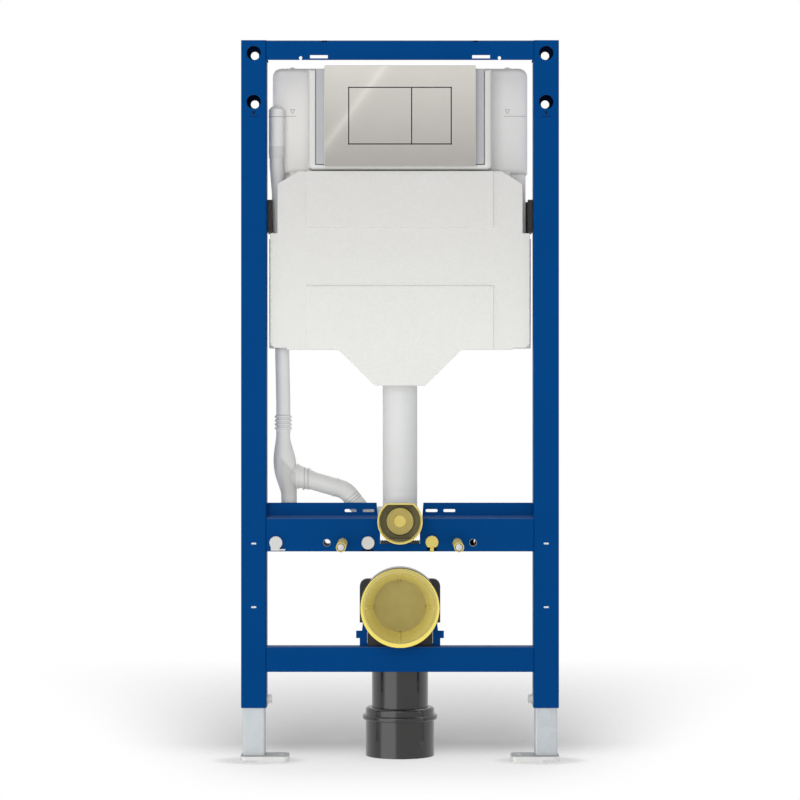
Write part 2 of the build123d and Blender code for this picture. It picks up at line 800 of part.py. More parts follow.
# Yellow plug in the flush bend: a cup with a hub, cut flat at the top
cup_front, cup_radius, cup_wall, cup_flat = -50.0, 35.2, 2.0, 28.5
hub_front, hub_radius, hub_wall = -32.0, 21.4, 2.0
with BuildPart() as flush_plug:
    with BuildSketch(across(0)):
        with BuildLine():
            Polyline(
                (cup_front, flush_z + cup_radius),
                (flush_mouth, flush_z + cup_radius),
                (flush_mouth, flush_z + flush_bore - fit),
                (flush_mouth + 18, flush_z + flush_bore - fit),
                (flush_mouth + 18, flush_z + hub_radius - hub_wall),
                (hub_front + hub_wall, flush_z + hub_radius - hub_wall),
                (hub_front + hub_wall, flush_z),
                (hub_front - 1.5, flush_z),
                (hub_front - 1.5, flush_z + 9.5),
                (hub_front, flush_z + 9.5),
                (hub_front, flush_z + hub_radius),
                (flush_mouth - hub_wall, flush_z + hub_radius + 1),
                (flush_mouth - hub_wall, flush_z + cup_radius - cup_wall),
                (cup_front, flush_z + cup_radius - cup_wall),
                close=True,
            )
        make_face()
    revolve(axis=Axis((0, 0, flush_z), (0, 1, 0)))
    cup_depth = flush_mouth - cup_front
    with BuildSketch(at_depth(cup_front)):
        with Locations((0, flush_z + cup_flat + cup_radius)):
            Rectangle(4 * cup_radius, 2 * cup_radius)
    extrude(amount=-cup_depth, mode=Mode.SUBTRACT)
    with BuildSketch(at_depth(cup_front)):
        with Locations((0, flush_z)):
            Circle(cup_radius)
        with Locations((0, flush_z + cup_flat - cup_wall / 2)):
            Rectangle(4 * cup_radius, cup_wall, mode=Mode.INTERSECT)
    extrude(amount=-cup_depth)
    with BuildSketch(at_depth(cup_front + 8)):
        with Locations((0, flush_z)):
            Circle(cup_radius - cup_wall / 2)
        with Locations((0, flush_z - cup_radius)):
            Rectangle(80, 16, mode=Mode.INTERSECT)
    extrude(amount=-(cup_depth - 8))
save(flush_plug.part, "flush_plug")

# Waste bend: socket for the toilet, bend and vertical leg
socket_mouth = -30.0
with BuildPart() as waste_bend:
    with BuildLine():
        add(bend_path(socket_mouth, waste_axis_back, waste_bend_radius, waste_z, 50))
    with BuildSketch(at_depth(socket_mouth)):
        with Locations((0, waste_z)):
            Circle(waste_radius)
    sweep()
    with BuildSketch(at_depth(socket_mouth)):
        with Locations((0, waste_z)):
            Circle(socket_radius)
    extrude(amount=-socket_length)
    with BuildLine():
        add(bend_path(socket_mouth, waste_axis_back, waste_bend_radius, waste_z, 50))
    with BuildSketch(at_depth(socket_mouth)):
        with Locations((0, waste_z)):
            Circle(waste_radius - waste_wall)
    sweep(mode=Mode.SUBTRACT)
    with BuildSketch(at_depth(socket_mouth)):
        with Locations((0, waste_z)):
            Circle(socket_bore)
    extrude(amount=-(socket_length - 3), mode=Mode.SUBTRACT)
save(waste_bend.part, "waste_bend")

# Yellow plug in the waste socket: a flange, a tapered cup and four ribs
flange_front, flange_radius, flange_inner = -44.0, 61.5, 54.5
disc_depth, disc_radius, plug_wall = 6.0, 41.8, 2.5
with BuildPart() as waste_plug:
    with BuildSketch(across(0)):
        with BuildLine():
            Polyline(
                (flange_front, waste_z + flange_inner),
                (flange_front, waste_z + flange_radius),
                (socket_mouth, waste_z + flange_radius),
                (socket_mouth, waste_z + flange_inner - 0.5),
                (disc_depth + plug_wall, waste_z + disc_radius + 1),
                (disc_depth + plug_wall, waste_z),
                (disc_depth, waste_z),
                (disc_depth, waste_z + disc_radius),
                close=True,
            )
        make_face()
    revolve(axis=Axis((0, 0, waste_z), (0, 1, 0)))
    for i in range(4):
        angle = i * math.pi / 2
        rib_plane = Plane(
            origin=(0, front, waste_z),
            x_dir=(0, 1, 0),
            z_dir=(math.cos(angle), 0, -math.sin(angle)),
        )
        with BuildSketch(rib_plane):
            with BuildLine():
                Polyline(
                    (disc_depth + 1, disc_radius - 3),
                    (disc_depth + 1, disc_radius + 1),
                    (flange_front + 3, flange_inner - 0.2),
                    (flange_front + 5, flange_inner - 2.8),
                    close=True,
                )
            make_face()
        extrude(amount=1, both=True)
save(waste_plug.part, "waste_plug")

# Floor adapter: a spigot for the floor pipe that sleeves the waste bend's leg
with BuildPart() as adapter:
    with BuildSketch(at_height(0)):
        with Locations((0, waste_axis_back)):
            Circle(adapter_radius)
    extrude(amount=adapter_height)
    fillet(adapter.faces().sort_by(Axis.Z)[-1].edges(), 5)
    with BuildSketch(at_height(adapter_bead_height - 4)):
        with Locations((0, waste_axis_back)):
            Circle(adapter_radius + adapter_bead)
            Circle(adapter_radius - 1, mode=Mode.SUBTRACT)
    extrude(amount=8)
    fillet(adapter.edges().filter_by(GeomType.CIRCLE).filter_by(lambda e: e.radius > 58), 3)
    with BuildSketch(at_height(0)):
        with Locations((0, waste_axis_back)):
            Circle(waste_radius + fit)
    extrude(amount=adapter_height, mode=Mode.SUBTRACT)
    with BuildSketch(at_height(0)):
        with Locations((0, waste_axis_back)):
            Circle(adapter_radius - 3.5)
    extrude(amount=46, mode=Mode.SUBTRACT)
save(adapter.part, "waste_adapter")

# Blue bracket on the lower rail and the black holder that it carries round the waste bend
bracket_front, bracket_sheet = 13.0, 3.0
rail_top = lower_rail_bottom + lower_rail_height
arm_inner, arm_outer, arm_tab = 51.7, 63.5, 69.2
arm_top = 36.5
with BuildPart() as bracket:
    for side in SIDES.values():
        with BuildSketch(at_depth(bracket_front)):
            with BuildLine():
                Polyline(
                    (side * arm_inner, rail_top),
                    (side * arm_outer, rail_top),
                    (side * arm_outer, rail_top + 12.3),
                    (side * arm_tab, rail_top + 12.3),
                    (side * arm_tab, rail_top + 24.1),
                    (side * (arm_inner + 8.3), rail_top + 24.1),
                    (side * (arm_inner + 7), rail_top + arm_top),
                    (side * arm_inner, rail_top + arm_top),
                    close=True,
                )
            make_face()
        extrude(amount=-bracket_sheet)
        with BuildSketch(at_depth(bracket_front)):
            with Locations((side * (arm_outer - bracket_sheet / 2), rail_top + 6.15)):
                Rectangle(bracket_sheet, 12.3)
        extrude(amount=-(lower_rail_depth - bracket_front))
    with BuildSketch(at_depth(lower_rail_depth - 6)):
        with Locations((0, rail_top + bracket_sheet / 2)):
            Rectangle(2 * arm_outer, bracket_sheet)
    extrude(amount=-6)
save(bracket.part, "waste_bracket")

holder_top = 42.0
holder_wall = 8.0
with BuildPart() as holder:
    with BuildSketch(at_depth(bracket_front)):
        with Locations((0, waste_z)):
            RectangleRounded(2 * arm_outer, 2 * holder_top, 12)
            Circle(waste_radius + holder_wall)
        with Locations((0, rail_top + arm_top + fit - holder_top)):
            Rectangle(3 * arm_outer, 2 * holder_top, mode=Mode.SUBTRACT)
        with Locations((0, waste_z)):
            Circle(waste_radius + fit, mode=Mode.SUBTRACT)
    extrude(amount=-20)
    with BuildSketch(at_depth(bracket_front)):
        with Locations((0, rail_top + fit + arm_top / 2)):
            Rectangle(2 * (arm_inner - fit), arm_top)
        with Locations((0, waste_z)):
            Circle(waste_radius + fit, mode=Mode.SUBTRACT)
    extrude(amount=-(lower_rail_depth - 6 - fit - bracket_front))
save(holder.part, "waste_holder")

# Air extraction line on the left: cap, pipe, bellows, branch piece and branch pipe
vent_y = front + vent_back
cap_x = cap_gap - inner_x
cap_bottom_z = frame_top - cap_drop
cap_socket = 20.0
pipe_x = pipe_gap - inner_x
ring_pitch, ring_radius, ring_count = 6.2, 13.6, 4
bellows_bottom_z = pipe_bottom_z - (ring_count + 0.5) * ring_pitch


def turned(points, x):
    """A turned piece: the profile, given as radius and height, goes round an upright axis at x."""
    with BuildPart() as piece:
        with BuildSketch(Plane(origin=(x, vent_y, 0), x_dir=(1, 0, 0), z_dir=(0, -1, 0))):
            with BuildLine():
                Polyline(*points, close=True)
            make_face()
        revolve(axis=Axis((x, vent_y, 0), (0, 0, 1)))
    return piece


def vent_level(x, z):
    """A level sketch plane on the air line's axis."""
    return Plane(origin=(x, vent_y, z), z_dir=(0, 0, 1))


vent_cap = turned(
    [
        (0, cap_bottom_z + cap_height),
        (cap_radius - 5, cap_bottom_z + cap_height),
        (cap_radius, cap_bottom_z + cap_height - 5),
        (cap_radius, cap_bottom_z + 7),
        (vent_radius + 0.7, cap_bottom_z),
        (vent_radius + fit, cap_bottom_z),
        (vent_radius + fit, cap_bottom_z + cap_socket),
        (0, cap_bottom_z + cap_socket),
    ],
    cap_x,
)
save(vent_cap.part, "vent_cap")

with BuildPart() as vent_pipe:
    with BuildLine(at_depth(vent_back)) as vent_path:
        FilletPolyline(
            (pipe_x, pipe_bottom_z),
            (pipe_x, pipe_bottom_z + 20),
            ((pipe_x + 2 * cap_x) / 3, cap_bottom_z - 53),
            (cap_x, cap_bottom_z - 12),
            (cap_x, cap_bottom_z + cap_socket - fit),
            radius=80,
        )
    with BuildSketch(vent_level(pipe_x, pipe_bottom_z)):
        Circle(vent_radius)
        Circle(vent_radius - vent_wall, mode=Mode.SUBTRACT)
    sweep()
save(vent_pipe.part, "vent_pipe")

ring_points = []
for i in range(ring_count):
    ring_z = pipe_bottom_z - (i + 0.5) * ring_pitch
    ring_points += [
        (vent_radius, ring_z + 2.4),
        (ring_radius, ring_z + 1.2),
        (ring_radius, ring_z - 1.2),
        (vent_radius, ring_z - 2.4),
    ]
vent_bellows = turned(
    [
        (vent_radius - vent_wall, pipe_bottom_z),
        (vent_radius, pipe_bottom_z),
        *ring_points,
        (vent_radius, bellows_bottom_z),
        (vent_radius - vent_wall, bellows_bottom_z),
    ],
    pipe_x,
)
save(vent_bellows.part, "vent_bellows")

# The branch piece is a swan-shaped body with a wide collar towards the flush bend
tee_sections = [
    (0.0, 0.0, 11.2),
    (0.0, 16.0, 12.4),
    (1.4, 33.5, 16.2),
    (2.4, 46.0, 17.8),
    (4.4, 68.0, 17.0),
    (7.0, 84.0, 14.4),
    (9.2, 101.0, 12.4),
]
tee_foot_z = pipe_bottom_z - 172
collar_x, collar_z, collar_radius = pipe_x + 22.4, bellows_bottom_z - 70, 19.8
collar_depth, collar_neck = 7.0, 12.0
with BuildPart() as vent_tee:
    for x, drop, radius in tee_sections:
        with BuildSketch(vent_level(pipe_x + x, bellows_bottom_z - drop)):
            Circle(radius)
    loft()
    foot_x, foot_drop, foot_radius = tee_sections[-1]
    with BuildSketch(vent_level(pipe_x + foot_x, bellows_bottom_z - foot_drop)):
        Circle(foot_radius)
    extrude(amount=-(bellows_bottom_z - foot_drop - tee_foot_z))
    collar_end = Plane(origin=(collar_x, vent_y, collar_z), z_dir=(1, 0, 0))
    with BuildSketch(collar_end.offset(-collar_depth - collar_neck)):
        Circle(foot_radius + 1.6)
    with BuildSketch(collar_end.offset(-collar_depth)):
        Circle(collar_radius - 1.2)
    loft()
    with BuildSketch(collar_end.offset(-collar_depth)):
        Circle(collar_radius - 1.2)
    extrude(amount=collar_depth)
save(vent_tee.part, "vent_tee")

branch_pipe_radius = 14.2
branch_angle = math.radians(16)
branch_run = (math.cos(branch_angle), 0, -math.sin(branch_angle))
cone_length = 22.0
mouth_flange = 2.6
with BuildPart() as vent_branch:
    with BuildSketch(collar_end):
        Circle(collar_radius)
    extrude(amount=mouth_flange)
    cone_root = (collar_x + mouth_flange, vent_y, collar_z - 0.8)
    cone_start = Plane(origin=cone_root, z_dir=branch_run)
    with BuildSketch(collar_end.offset(mouth_flange)):
        Circle(collar_radius - 1.6)
    with BuildSketch(cone_start.offset(cone_length)):
        Circle(branch_pipe_radius + 0.8)
    loft()
    with BuildSketch(cone_start.offset(0.5 * cone_length)):
        Circle(collar_radius - 1.6)
    extrude(amount=mouth_flange)
    pipe_start = cone_start.offset(cone_length).origin
    with BuildLine(at_depth(vent_back)) as branch_path:
        FilletPolyline(
            (pipe_start.X, pipe_start.Z),
            (-86.0, pipe_start.Z - (-86.0 - pipe_start.X) * math.tan(branch_angle)),
            (-53.0, port_z),
            (port_x - fit, port_z),
            radius=[30, 12],
        )
    with BuildSketch(Plane(origin=branch_path.line @ 0, z_dir=branch_path.line % 0)):
        Circle(branch_pipe_radius)
    sweep()
    ring_middle = branch_path.wires()[0]
    with BuildSketch(Plane(origin=ring_middle @ 0.3, z_dir=ring_middle % 0.3)):
        Circle(branch_pipe_radius + 1)
    extrude(amount=mouth_flange)
save(vent_branch.part, "vent_branch")
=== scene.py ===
"""The looks of a wall-hung toilet frame: a blue steel installation frame with its concealed
cistern, flush plate, flush and waste connections and air extraction line, in metres.

The script follows the object as it is put together: the painted frame, its legs and feet, the
toilet fixings, the cistern with its cover and plate, the flush line, the waste line and the air
line. The studio and the camera come last.
"""

import json
import math

import bpy
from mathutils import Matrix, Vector

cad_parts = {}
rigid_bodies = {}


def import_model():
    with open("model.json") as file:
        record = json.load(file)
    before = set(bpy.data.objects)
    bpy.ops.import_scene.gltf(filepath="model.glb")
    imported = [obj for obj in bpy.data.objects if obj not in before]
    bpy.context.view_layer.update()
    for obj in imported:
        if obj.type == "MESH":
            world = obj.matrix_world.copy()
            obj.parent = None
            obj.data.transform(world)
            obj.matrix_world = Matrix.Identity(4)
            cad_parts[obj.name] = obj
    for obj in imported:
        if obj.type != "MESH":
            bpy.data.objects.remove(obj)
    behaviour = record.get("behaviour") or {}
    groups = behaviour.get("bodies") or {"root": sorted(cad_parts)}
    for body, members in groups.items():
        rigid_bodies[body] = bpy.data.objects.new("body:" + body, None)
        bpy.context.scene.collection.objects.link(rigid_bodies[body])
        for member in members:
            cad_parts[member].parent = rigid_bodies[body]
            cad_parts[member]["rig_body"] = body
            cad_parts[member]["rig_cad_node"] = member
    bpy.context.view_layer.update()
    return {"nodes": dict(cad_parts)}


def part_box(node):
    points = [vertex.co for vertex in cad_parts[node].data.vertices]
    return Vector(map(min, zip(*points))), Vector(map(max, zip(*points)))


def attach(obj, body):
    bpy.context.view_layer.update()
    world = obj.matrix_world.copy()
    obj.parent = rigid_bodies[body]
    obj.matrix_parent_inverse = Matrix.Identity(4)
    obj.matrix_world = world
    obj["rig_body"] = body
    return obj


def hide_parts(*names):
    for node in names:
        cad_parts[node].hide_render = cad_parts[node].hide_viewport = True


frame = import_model()


# The frame is square steel tube and folded sheet, welded together and then powder coated blue.
# The coat is smooth, with a faint orange peel. Faces that are turned up are painted paler, as a
# painted highlight, and the tubes' insides are painted dark, as painted shade.
weld_distance = 0.00001
flat_angle = 0.3
bevel_angle = 40


def pick(piece):
    """Makes this object the only one that is selected, and the active one."""
    bpy.ops.object.select_all(action="DESELECT")
    piece.select_set(True)
    bpy.context.view_layer.objects.active = piece


def dressed(node, edge=0.0, angle=30.0, rings=2):
    """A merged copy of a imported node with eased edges, which is shown in the node's place."""
    source = frame["nodes"][node]
    pick(source)
    bpy.ops.object.duplicate()
    piece = bpy.context.active_object
    body = piece["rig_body"]
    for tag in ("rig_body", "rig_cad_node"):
        del piece[tag]
    piece.name = f"{node}_dressed"
    piece.parent = None
    bpy.ops.mesh.customdata_custom_splitnormals_clear()
    bpy.ops.object.mode_set(mode="EDIT")
    bpy.ops.mesh.select_all(action="SELECT")
    bpy.ops.mesh.remove_doubles(threshold=weld_distance)
    bpy.ops.mesh.dissolve_limited(angle_limit=math.radians(flat_angle))
    bpy.ops.object.mode_set(mode="OBJECT")
    if edge:
        easing = piece.modifiers.new("easing", "BEVEL")
        easing.width = edge
        easing.segments = rings
        easing.limit_method = "ANGLE"
        easing.angle_limit = math.radians(bevel_angle)
        bpy.ops.object.modifier_apply(modifier=easing.name)
    bpy.ops.object.shade_smooth_by_angle(angle=math.radians(angle))
    weighting = piece.modifiers.new("weighting", "WEIGHTED_NORMAL")
    weighting.keep_sharp = True
    bpy.ops.object.modifier_apply(modifier=weighting.name)
    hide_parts(node)
    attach(piece, body)
    return piece


def finish_with(piece, material):
    """Gives a piece its material."""
    piece.data.materials.clear()
    piece.data.materials.append(material)


def linear(red, green, blue):
    """A screen colour, 0 to 255, as the linear colour that a socket takes."""
    tones = []
    for value in (red, green, blue):
        share = value / 255
        tones.append(share / 12.92 if share <= 0.04045 else ((share + 0.055) / 1.055) ** 2.4)
    return (*tones, 1.0)


class Value:
    """A shader socket that takes part in sums. Each operator adds its Math node."""

    def __init__(self, recipe, socket):
        self.recipe = recipe
        self.socket = socket

    def sum(self, operation, first, second):
        """The Math node of one operator, with its two sides in order."""
        return self.recipe.add("Math", {"operation": operation}, {0: first, 1: second})

    def __add__(self, other):
        return self.sum("ADD", self, other)

    def __radd__(self, other):
        return self.sum("ADD", other, self)

    def __sub__(self, other):
        return self.sum("SUBTRACT", self, other)

    def __rsub__(self, other):
        return self.sum("SUBTRACT", other, self)

    def __mul__(self, other):
        return self.sum("MULTIPLY", self, other)

    def __rmul__(self, other):
        return self.sum("MULTIPLY", other, self)

    def __pow__(self, other):
        return self.sum("POWER", self, other)

    def __abs__(self):
        return self.sum("ABSOLUTE", self, 0.0)


class Recipe:
    """A material, or the world, while its nodes are added."""

    def __init__(self, name, world=None):
        self.material = world or bpy.data.materials.new(name)
        self.material.use_nodes = True
        self.tree = self.material.node_tree
        self.tree.nodes.clear()

    def add(self, kind, settings=None, inputs=None, out=0):
        """Any node: its settings first, then its sockets' values or links. Gives one output."""
        node = self.tree.nodes.new(f"ShaderNode{kind}")
        for name, value in (settings or {}).items():
            setattr(node, name, value)
        for name, value in (inputs or {}).items():
            if isinstance(value, Value):
                self.tree.links.new(value.socket, node.inputs[name])
            else:
                node.inputs[name].default_value = value
        return Value(self, node.outputs[out])

    def mix(self, mask, first, second):
        """The first colour where the mask is 0 and the second where it is 1."""
        return self.add("Mix", {"data_type": "RGBA"}, {0: mask, 6: first, 7: second}, out=2)

    def between(self, value, low, high, curve="SMOOTHSTEP"):
        """A step, soft unless told otherwise, from 0 at the low value to 1 at the high one."""
        settings = {"interpolation_type": curve}
        return self.add("MapRange", settings, {"Value": value, 1: low, 2: high})

    def place(self):
        """Object coordinates, in metres."""
        return self.add("TexCoord", out="Object")

    def along(self, axis, point=None):
        """One coordinate, X, Y or Z, of a point."""
        return self.add("SeparateXYZ", {}, {"Vector": point or self.place()}, out=axis)

    def noise(self, scale, detail=2.0, point=None):
        """Soft noise, 0 to 1, with so many waves to the metre."""
        inputs = {"Vector": point or self.place(), "Scale": scale, "Detail": detail}
        return self.add("TexNoise", {}, inputs, out=0)

    def skin(self, inputs, height=None, depth=0.0002, strength=1.0):
        """Closes the material with a Principled shader, bumped by a height."""
        if height is not None:
            bump = {"Strength": strength, "Distance": depth, "Height": height}
            inputs = {**inputs, "Normal": self.add("Bump", {}, bump)}
        shader = self.add("BsdfPrincipled", {}, inputs)
        self.add_output(shader)
        return self.material

    def add_output(self, shader, kind="Material"):
        """Ends the tree with this shader, for a material or for the world."""
        output = self.tree.nodes.new(f"ShaderNodeOutput{kind}")
        self.tree.links.new(shader.socket, output.inputs["Surface"])


upright_centre = 0.23
tube_inside = (0.018, 0.0183)
turned_up = (0.25, 0.8)
highlight_share = 0.4


def blue_coat():
    """Deep blue, with a painted highlight on faces that are turned up and painted shade inside the
    two upright tubes.
    """
    coat = Recipe("blue_powder_coat")
    cloud = coat.noise(9.0, 3.0)
    peel = coat.noise(650.0, 2.0)
    colour = coat.mix(cloud, linear(0, 61, 121), linear(0, 66, 129))
    # Painted highlight: faces that are turned up are painted a paler blue.
    facing = coat.along("Z", coat.add("NewGeometry", out="Normal"))
    painted_top_highlight = highlight_share * coat.between(facing, *turned_up)
    colour = coat.mix(painted_top_highlight, colour, linear(96, 120, 168))
    # Painted shade: inside the two upright tubes the blue is painted dark navy.
    beside = coat.between(abs(abs(coat.along("X")) - upright_centre), *tube_inside)
    behind = coat.between(abs(coat.along("Y")), *tube_inside)
    inside = (1 - beside) * (1 - behind)
    colour = coat.mix(inside, colour, linear(1, 20, 50))
    roughness = 0.3 + 0.12 * coat.noise(55.0, 4.0)
    return coat.skin(
        {"Base Color": colour, "Roughness": roughness, "Specular IOR Level": 0.03},
        height=peel,
        depth=0.00012,
        strength=0.45,
    )


blue = blue_coat()
sheet_edge = 0.0005
for node in (
    "left_upright",
    "right_upright",
    "top_rail",
    "middle_rail",
    "lower_rail",
    "waste_bracket",
):
    finish_with(dressed(node, edge=sheet_edge), blue)

# Each upright carries a level mark one metre above the finished floor, a filled triangle over a
# short line, printed in dark ink on the coat. The small slots at the heights of the studs and of the
# waste pipe each hold a pale insert just behind the face.
mark_ink = Recipe("dark_mark_ink")
worn = mark_ink.noise(900.0, 3.0)
mark_ink = mark_ink.skin(
    {
        "Base Color": mark_ink.mix(worn, linear(0, 16, 38), linear(1, 24, 52)),
        "Roughness": 0.45 + 0.1 * worn,
        "Specular IOR Level": 0.2,
    }
)
ink_thickness = 0.00015
mark_height = 1.015
mark_line_length = 0.0152
mark_line_height = 0.0011
mark_triangle = 0.004
mark_triangle_rise = 0.0062
outline_share = 0.17


def settle(piece, angle=30.0):
    """Bakes the piece's place into its mesh and shades it smoothly, sharp at steeper edges."""
    pick(piece)
    bpy.ops.object.transform_apply(location=True, rotation=True, scale=True)
    bpy.ops.object.shade_smooth_by_angle(angle=math.radians(angle))


def printed_line(name, x, front, z, length, height):
    """A thin printed line on a face that looks forwards."""
    bpy.ops.object.select_all(action="DESELECT")
    bpy.ops.mesh.primitive_cube_add(size=1, location=(x, front - ink_thickness / 2, z))
    line = bpy.context.active_object
    line.name = name
    line.scale = (length, ink_thickness, height)
    bpy.ops.object.transform_apply(location=True, rotation=True, scale=True)
    bpy.ops.object.mode_set(mode="EDIT")
    bpy.ops.mesh.select_all(action="SELECT")
    bpy.ops.mesh.bevel(offset=ink_thickness / 3, segments=1, affect="EDGES")
    bpy.ops.object.mode_set(mode="OBJECT")
    settle(line)
    return line


def printed_triangle(name, x, front, z, radius, hollow=False):
    """A triangle that points down, filled or as an outline, on a face that looks forwards."""
    bpy.ops.object.select_all(action="DESELECT")
    bpy.ops.mesh.primitive_cylinder_add(
        vertices=3,
        radius=radius,
        depth=ink_thickness,
        end_fill_type="NGON",
        location=(x, front - ink_thickness / 2, z),
        rotation=(math.radians(90), math.radians(180), 0),
    )
    triangle = bpy.context.active_object
    triangle.name = name
    if hollow:
        bpy.ops.object.mode_set(mode="EDIT")
        bpy.ops.mesh.select_mode(type="FACE")
        bpy.ops.mesh.select_all(action="DESELECT")
        bpy.ops.object.mode_set(mode="OBJECT")
        for face in triangle.data.polygons:
            face.select = len(face.vertices) == 3
        bpy.ops.object.mode_set(mode="EDIT")
        bpy.ops.mesh.inset(thickness=radius * outline_share, depth=0)
        bpy.ops.mesh.bridge_edge_loops()
        bpy.ops.mesh.select_all(action="SELECT")
        bpy.ops.mesh.normals_make_consistent(inside=False)
        bpy.ops.object.mode_set(mode="OBJECT")
    settle(triangle)
    return triangle


pale_insert = Recipe("pale_slot_insert")
dulled = pale_insert.noise(500.0, 2.0)
pale_insert = pale_insert.skin(
    {
        "Base Color": pale_insert.mix(dulled, linear(238, 241, 245), linear(228, 232, 238)),
        "Roughness": 0.5 + 0.1 * dulled,
    }
)
slot_length = 0.0084
slot_height = 0.0028
slot_depth = 0.0012
slot_places = (("stud", 0.3436), ("waste", 0.2436))
for side in ("left", "right"):
    low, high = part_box(f"{side}_upright")
    middle = (low.x + high.x) / 2
    for place, z in slot_places:
        insert = printed_line(
            f"{side}_{place}_mark", middle, low.y + slot_depth, z, slot_length, slot_height
        )
        finish_with(insert, pale_insert)
        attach(insert, "frame")
    line = printed_line(
        f"{side}_metre_line", middle, low.y, mark_height, mark_line_length, mark_line_height
    )
    arrow = printed_triangle(
        f"{side}_metre_arrow", middle, low.y, mark_height + mark_triangle_rise, mark_triangle
    )
    for piece in (line, arrow):
        finish_with(piece, mark_ink)
        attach(piece, "frame")

# Short weld beads join the rails' ends to the uprights. They run along the rails' upper and lower
# edges, sunk in the joint, and the coat covers them.
bead_radius = 0.0017
bead_height = 0.8
bead_length = 0.7
bead_pitch = 0.0016
bead_sunk = 0.2
bead_margin = 0.006


def weld_bead(name, x, y_start, y_end, z):
    """A rippled bead along Y: one flattened drop, copied along the joint."""
    bpy.ops.object.select_all(action="DESELECT")
    count = max(2, round((y_end - y_start) / bead_pitch))
    bpy.ops.mesh.primitive_uv_sphere_add(
        segments=10, ring_count=6, radius=bead_radius, location=(x, y_start, z)
    )
    bead = bpy.context.active_object
    bead.name = name
    bpy.ops.object.mode_set(mode="EDIT")
    bpy.ops.mesh.select_all(action="SELECT")
    bpy.ops.transform.resize(value=(1, bead_length, bead_height))
    bpy.ops.object.mode_set(mode="OBJECT")
    ripple = bead.modifiers.new("ripple", "ARRAY")
    ripple.use_relative_offset = False
    ripple.use_constant_offset = True
    ripple.constant_offset_displace = (0, bead_pitch, 0)
    ripple.count = count
    bpy.ops.object.modifier_apply(modifier=ripple.name)
    settle(bead, 60)
    finish_with(bead, blue)
    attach(bead, "frame")


upright_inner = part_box("right_upright")[0].x
for rail in ("top_rail", "middle_rail", "lower_rail"):
    low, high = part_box(rail)
    for side, sign in (("left", -1), ("right", 1)):
        sunk = bead_radius * bead_height
        for edge_name, z in (("lower", low.z + sunk / 2), ("upper", high.z - sunk)):
            weld_bead(
                f"{rail}_{side}_{edge_name}_weld",
                sign * (upright_inner - bead_radius * bead_sunk),
                low.y + bead_margin,
                high.y - bead_margin,
                z,
            )

# The legs are square steel tube and the feet pressed sheet, both galvanised: pale, with the soft
# patches of zinc crystals and fine marks drawn along the tube.
zinc_turned_up = (0.3, 0.8)


def zinc_skin(name, pale, dark, roughness, upper=None):
    """Zinc in two tones. Faces that are turned up may be painted in a tone of their own, as painted
    shade.
    """
    zinc = Recipe(name)
    point = zinc.place()
    crystals = zinc.add("TexVoronoi", {}, {"Vector": point, "Scale": 95.0}, out="Color")
    tone = zinc.add("SeparateColor", {}, {"Color": crystals}, out=0)
    drawn = zinc.add("Mapping", {}, {"Vector": point, "Scale": (1.0, 1.0, 0.02)})
    lines = zinc.noise(1400.0, 2.0, drawn)
    colour = zinc.mix(0.55 * tone + 0.45 * zinc.noise(30.0, 3.0), pale, dark)
    if upper:
        # Painted shade: faces that are turned up take the upper tone.
        facing = zinc.along("Z", zinc.add("NewGeometry", out="Normal"))
        colour = zinc.mix(zinc.between(facing, *zinc_turned_up), colour, upper)
    return zinc.skin(
        {
            "Base Color": colour,
            "Metallic": 0.5,
            "Roughness": roughness + 0.1 * tone + 0.06 * lines,
        },
        height=lines,
        depth=0.00005,
        strength=0.35,
    )


galvanised = zinc_skin("galvanised_steel", linear(214, 219, 223), linear(202, 207, 211), 0.44)
# The feet's faces that are turned up are painted darker, a painted shade.
foot_zinc = zinc_skin(
    "galvanised_foot",
    linear(243, 243, 241),
    linear(236, 236, 234),
    0.5,
    upper=linear(176, 177, 177),
)
for side in ("left", "right"):
    finish_with(dressed(f"{side}_leg", edge=0.0004), galvanised)
    finish_with(dressed(f"{side}_foot_plate", edge=0.0006), foot_zinc)

# Each leg turns on a hexagon bolt under its foot plate, and another clamps it in the upright.
# The bolts are zinc plated, like the nut plates that hold the toilet's rods.
zinc_plated = zinc_skin("zinc_plated_steel", linear(234, 234, 231), linear(212, 212, 208), 0.34)
bush_x = 0.115
bush_z = 0.345
bore_edge = (0.0052, 0.0053)


def bush_zinc():
    """Zinc plate, with painted shade in the threaded bush's bore."""
    bush = Recipe("zinc_plated_bush")
    across = abs(bush.along("X")) - bush_x
    up = bush.along("Z") - bush_z
    # Painted shade: the bore is painted near black and not metallic.
    clear_of_bore_shade = bush.between((across * across + up * up) ** 0.5, *bore_edge)
    tone = bush.noise(120.0, 3.0)
    plate = bush.mix(tone, linear(214, 214, 210), linear(188, 188, 182))
    return bush.skin(
        {
            "Base Color": bush.mix(clear_of_bore_shade, linear(14, 15, 18), plate),
            "Metallic": 0.5 * clear_of_bore_shade,
            "Roughness": 0.45 + 0.1 * tone,
            "Specular IOR Level": 0.2,
        },
        height=bush.noise(900.0, 2.0),
        depth=0.00005,
        strength=0.3,
    )


bush_plate = bush_zinc()
for side in ("left", "right"):
    finish_with(dressed(f"{side}_swivel_bolt", edge=0.0009), zinc_plated)
    finish_with(dressed(f"{side}_clamp_bolt", edge=0.0007), zinc_plated)
    finish_with(dressed(f"{side}_nut_plate", edge=0.0006), bush_plate)

# The toilet hangs on two threaded rods of zinc plated steel, M12 with a coarse rolled thread. They
# are cut to length, and their ends are chamfered so that a nut starts easily.
rod_radius = 0.006
rod_pitch = 0.00175
rod_thread_depth = 0.00095
rod_chamfer = 0.0012
rod_end_bevel = 0.0005
rod_steps = 18
crest = (0.4375, 0.5625)


